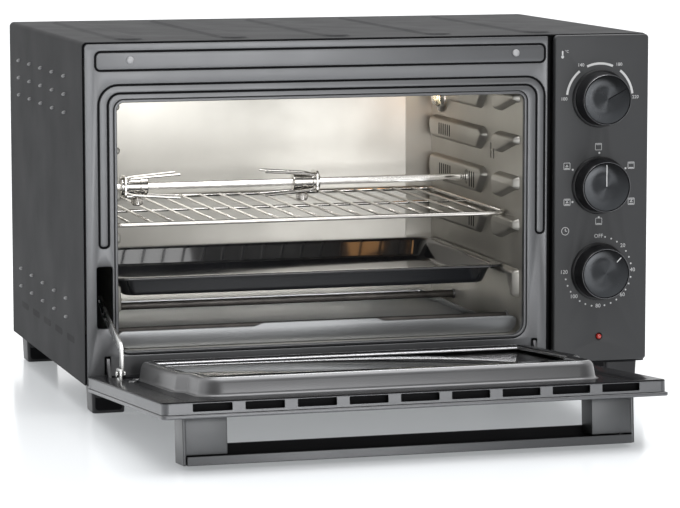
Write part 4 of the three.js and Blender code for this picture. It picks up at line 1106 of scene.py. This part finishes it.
def handle():
    (x0, tip, s0), (x1, near, s1) = extent("handle_bar", DOOR)
    thick, lip = 2.2, 6.8
    section = [(tip, s0), (near, s0), (near, s0 + thick), (tip + thick, s0 + thick),
               (tip + thick, s1 - thick), (tip + lip, s1 - thick), (tip + lip, s1), (tip, s1)]
    piece = Piece("handle_channel", "door", "handle_bar", space=DOOR)
    piece.add(plate(soften(section, 0.6, 3), [], "x", edge_round(x0, x1, 0.3, 0.3, 2)),
              "handle")
    # a dark lining on the channel's inner faces: painted shade
    lining = [(tip + 2.3, s0 + 2.3), (near - 0.4, s0 + 2.3), (near - 0.4, s0 + 2.6),
              (tip + 2.6, s0 + 2.6), (tip + 2.6, s1 - 2.3), (tip + 2.3, s1 - 2.3)]
    piece.add(plate(lining, [], "x", [(0, x0 + 0.6), (0, x1 - 0.6)]), "inside")
    # the front lip takes the lighter grip paint: painted sheen
    piece.add(slab((x0 + 0.2, tip + 0.3, s1 - 0.3), (x1 - 0.2, tip + lip - 0.2, s1 + 0.15),
                   0.4, 0.3, "z"), "grip")
    piece.done(40)
    for side, way in (("left", 1), ("right", -1)):
        low, high = extent(f"handle_end_{side}", DOOR)
        outer = low.x if way == 1 else high.x
        block = Piece(f"handle_end_{side}_block", "door", f"handle_end_{side}", space=DOOR)
        a, b = sorted((outer + way * 2, outer + way * 34))
        block.add(slab((a, low.y + 7.6, low.z + 2.6), (b, high.y, high.z - 0.4), 0.6, 0.5),
                  "handle")
        a, b = sorted((outer, outer + way * 2.4))
        block.add(slab((a, low.y, low.z), (b, high.y, high.z), 0.8, 0.5, "x"), "handle")
        block.done(40)


def feet():
    """Moulded feet: a tapered shell with a dark plate on its sunk front, painted as the shade in
    its hollow.
    """
    for place in ("front_left", "front_right", "rear_left", "rear_right"):
        low, high = extent(f"foot_{place}")
        top = high.z
        levels = ((5, 2, top - 7), (4.6, 2, 0.6), (1.6, 2.6, 0), (1.0, 3, 0.5), (0, 3, top - 0.4),
                  (0.4, 3, top))
        skin = [(low.x + d, high.x - d, low.y + d, high.y - d, r, z) for d, r, z in levels]
        piece = Piece(f"foot_{place}_moulding", "casing", f"foot_{place}")
        piece.add(loft(skin), "plastic")
        # the dark plate on the sunk front is painted shade
        sunk = rounded(low.x + 3, high.x - 3.2, 2.4, top - 2, 3.2, 1, 5)
        lean = low.y + 0.55
        piece.add(plate(sunk, [], "y", [(0, lean - 0.1), (0, lean + 1.5)]), "inside")
        piece.done(40)


def small_parts():
    refine("stay_arm", "stay", "steel", 0.3)
    refine("stay_bracket", "door", "steel", 0.2)
    refine("stay_rivet", "door", "steel", 0.25)
    refine("hinge_leaf_right", "door", "steel", 0.25)
    for side in ("left", "right"):
        refine(f"hinge_lug_{side}", "casing", "dark_steel", 0.25)
        refine(f"hinge_pin_{side}", "door", "steel", 0.2)
    for node, mat, width in (("cord_gland", "gland", 0.4), ("back_panel", "cover", 0.25),
                             ("base_plate", "cover", 0.25), ("cavity_ceiling", "liner", 0.15),
                             ("cavity_floor", "liner", 0.15), ("thermostat", "housing", 0.8),
                             ("function_switch", "housing", 0.8), ("timer", "housing", 0.8)):
        refine(node, "casing", mat, width)
    for name in KNOB_Z:
        refine(f"{name}_shaft", f"{name}_control", "steel", 0.2)


def floor():
    mesh = bpy.data.meshes.new("studio_floor")
    made = bmesh.new()
    bmesh.ops.create_grid(made, x_segments=1, y_segments=1, size=14)
    made.to_mesh(mesh)
    made.free()
    ground = bpy.data.objects.new("studio_floor", mesh)
    ground.location = (0, 4, -0.0005)
    paper = bpy.data.materials.new("studio_floor")
    paper.use_nodes = True
    shader = paper.node_tree.nodes["Principled BSDF"]
    set_inputs(shader, {"Base Color": (0.70, 0.715, 0.73, 1), "Roughness": 0.16, "IOR": 1.38,
                        "Emission Color": (0.95, 0.98, 1.0, 1), "Emission Strength": 0.27})
    mesh.materials.append(paper)
    bpy.context.scene.collection.objects.link(ground)


place_camera()
light_studio()
floor()
cover()
front()
panel()
fasteners()
for wall_side in ("left", "right"):
    cavity_side(wall_side)
cavity_rear()
heating_rods()
lamp()
rack()
tray()
crumb()
rotisserie()
controls()
door_face()
door_panel()
handle()
feet()
small_parts()

bpy.context.scene.view_settings.view_transform = "Standard"
bpy.context.view_layer.update()
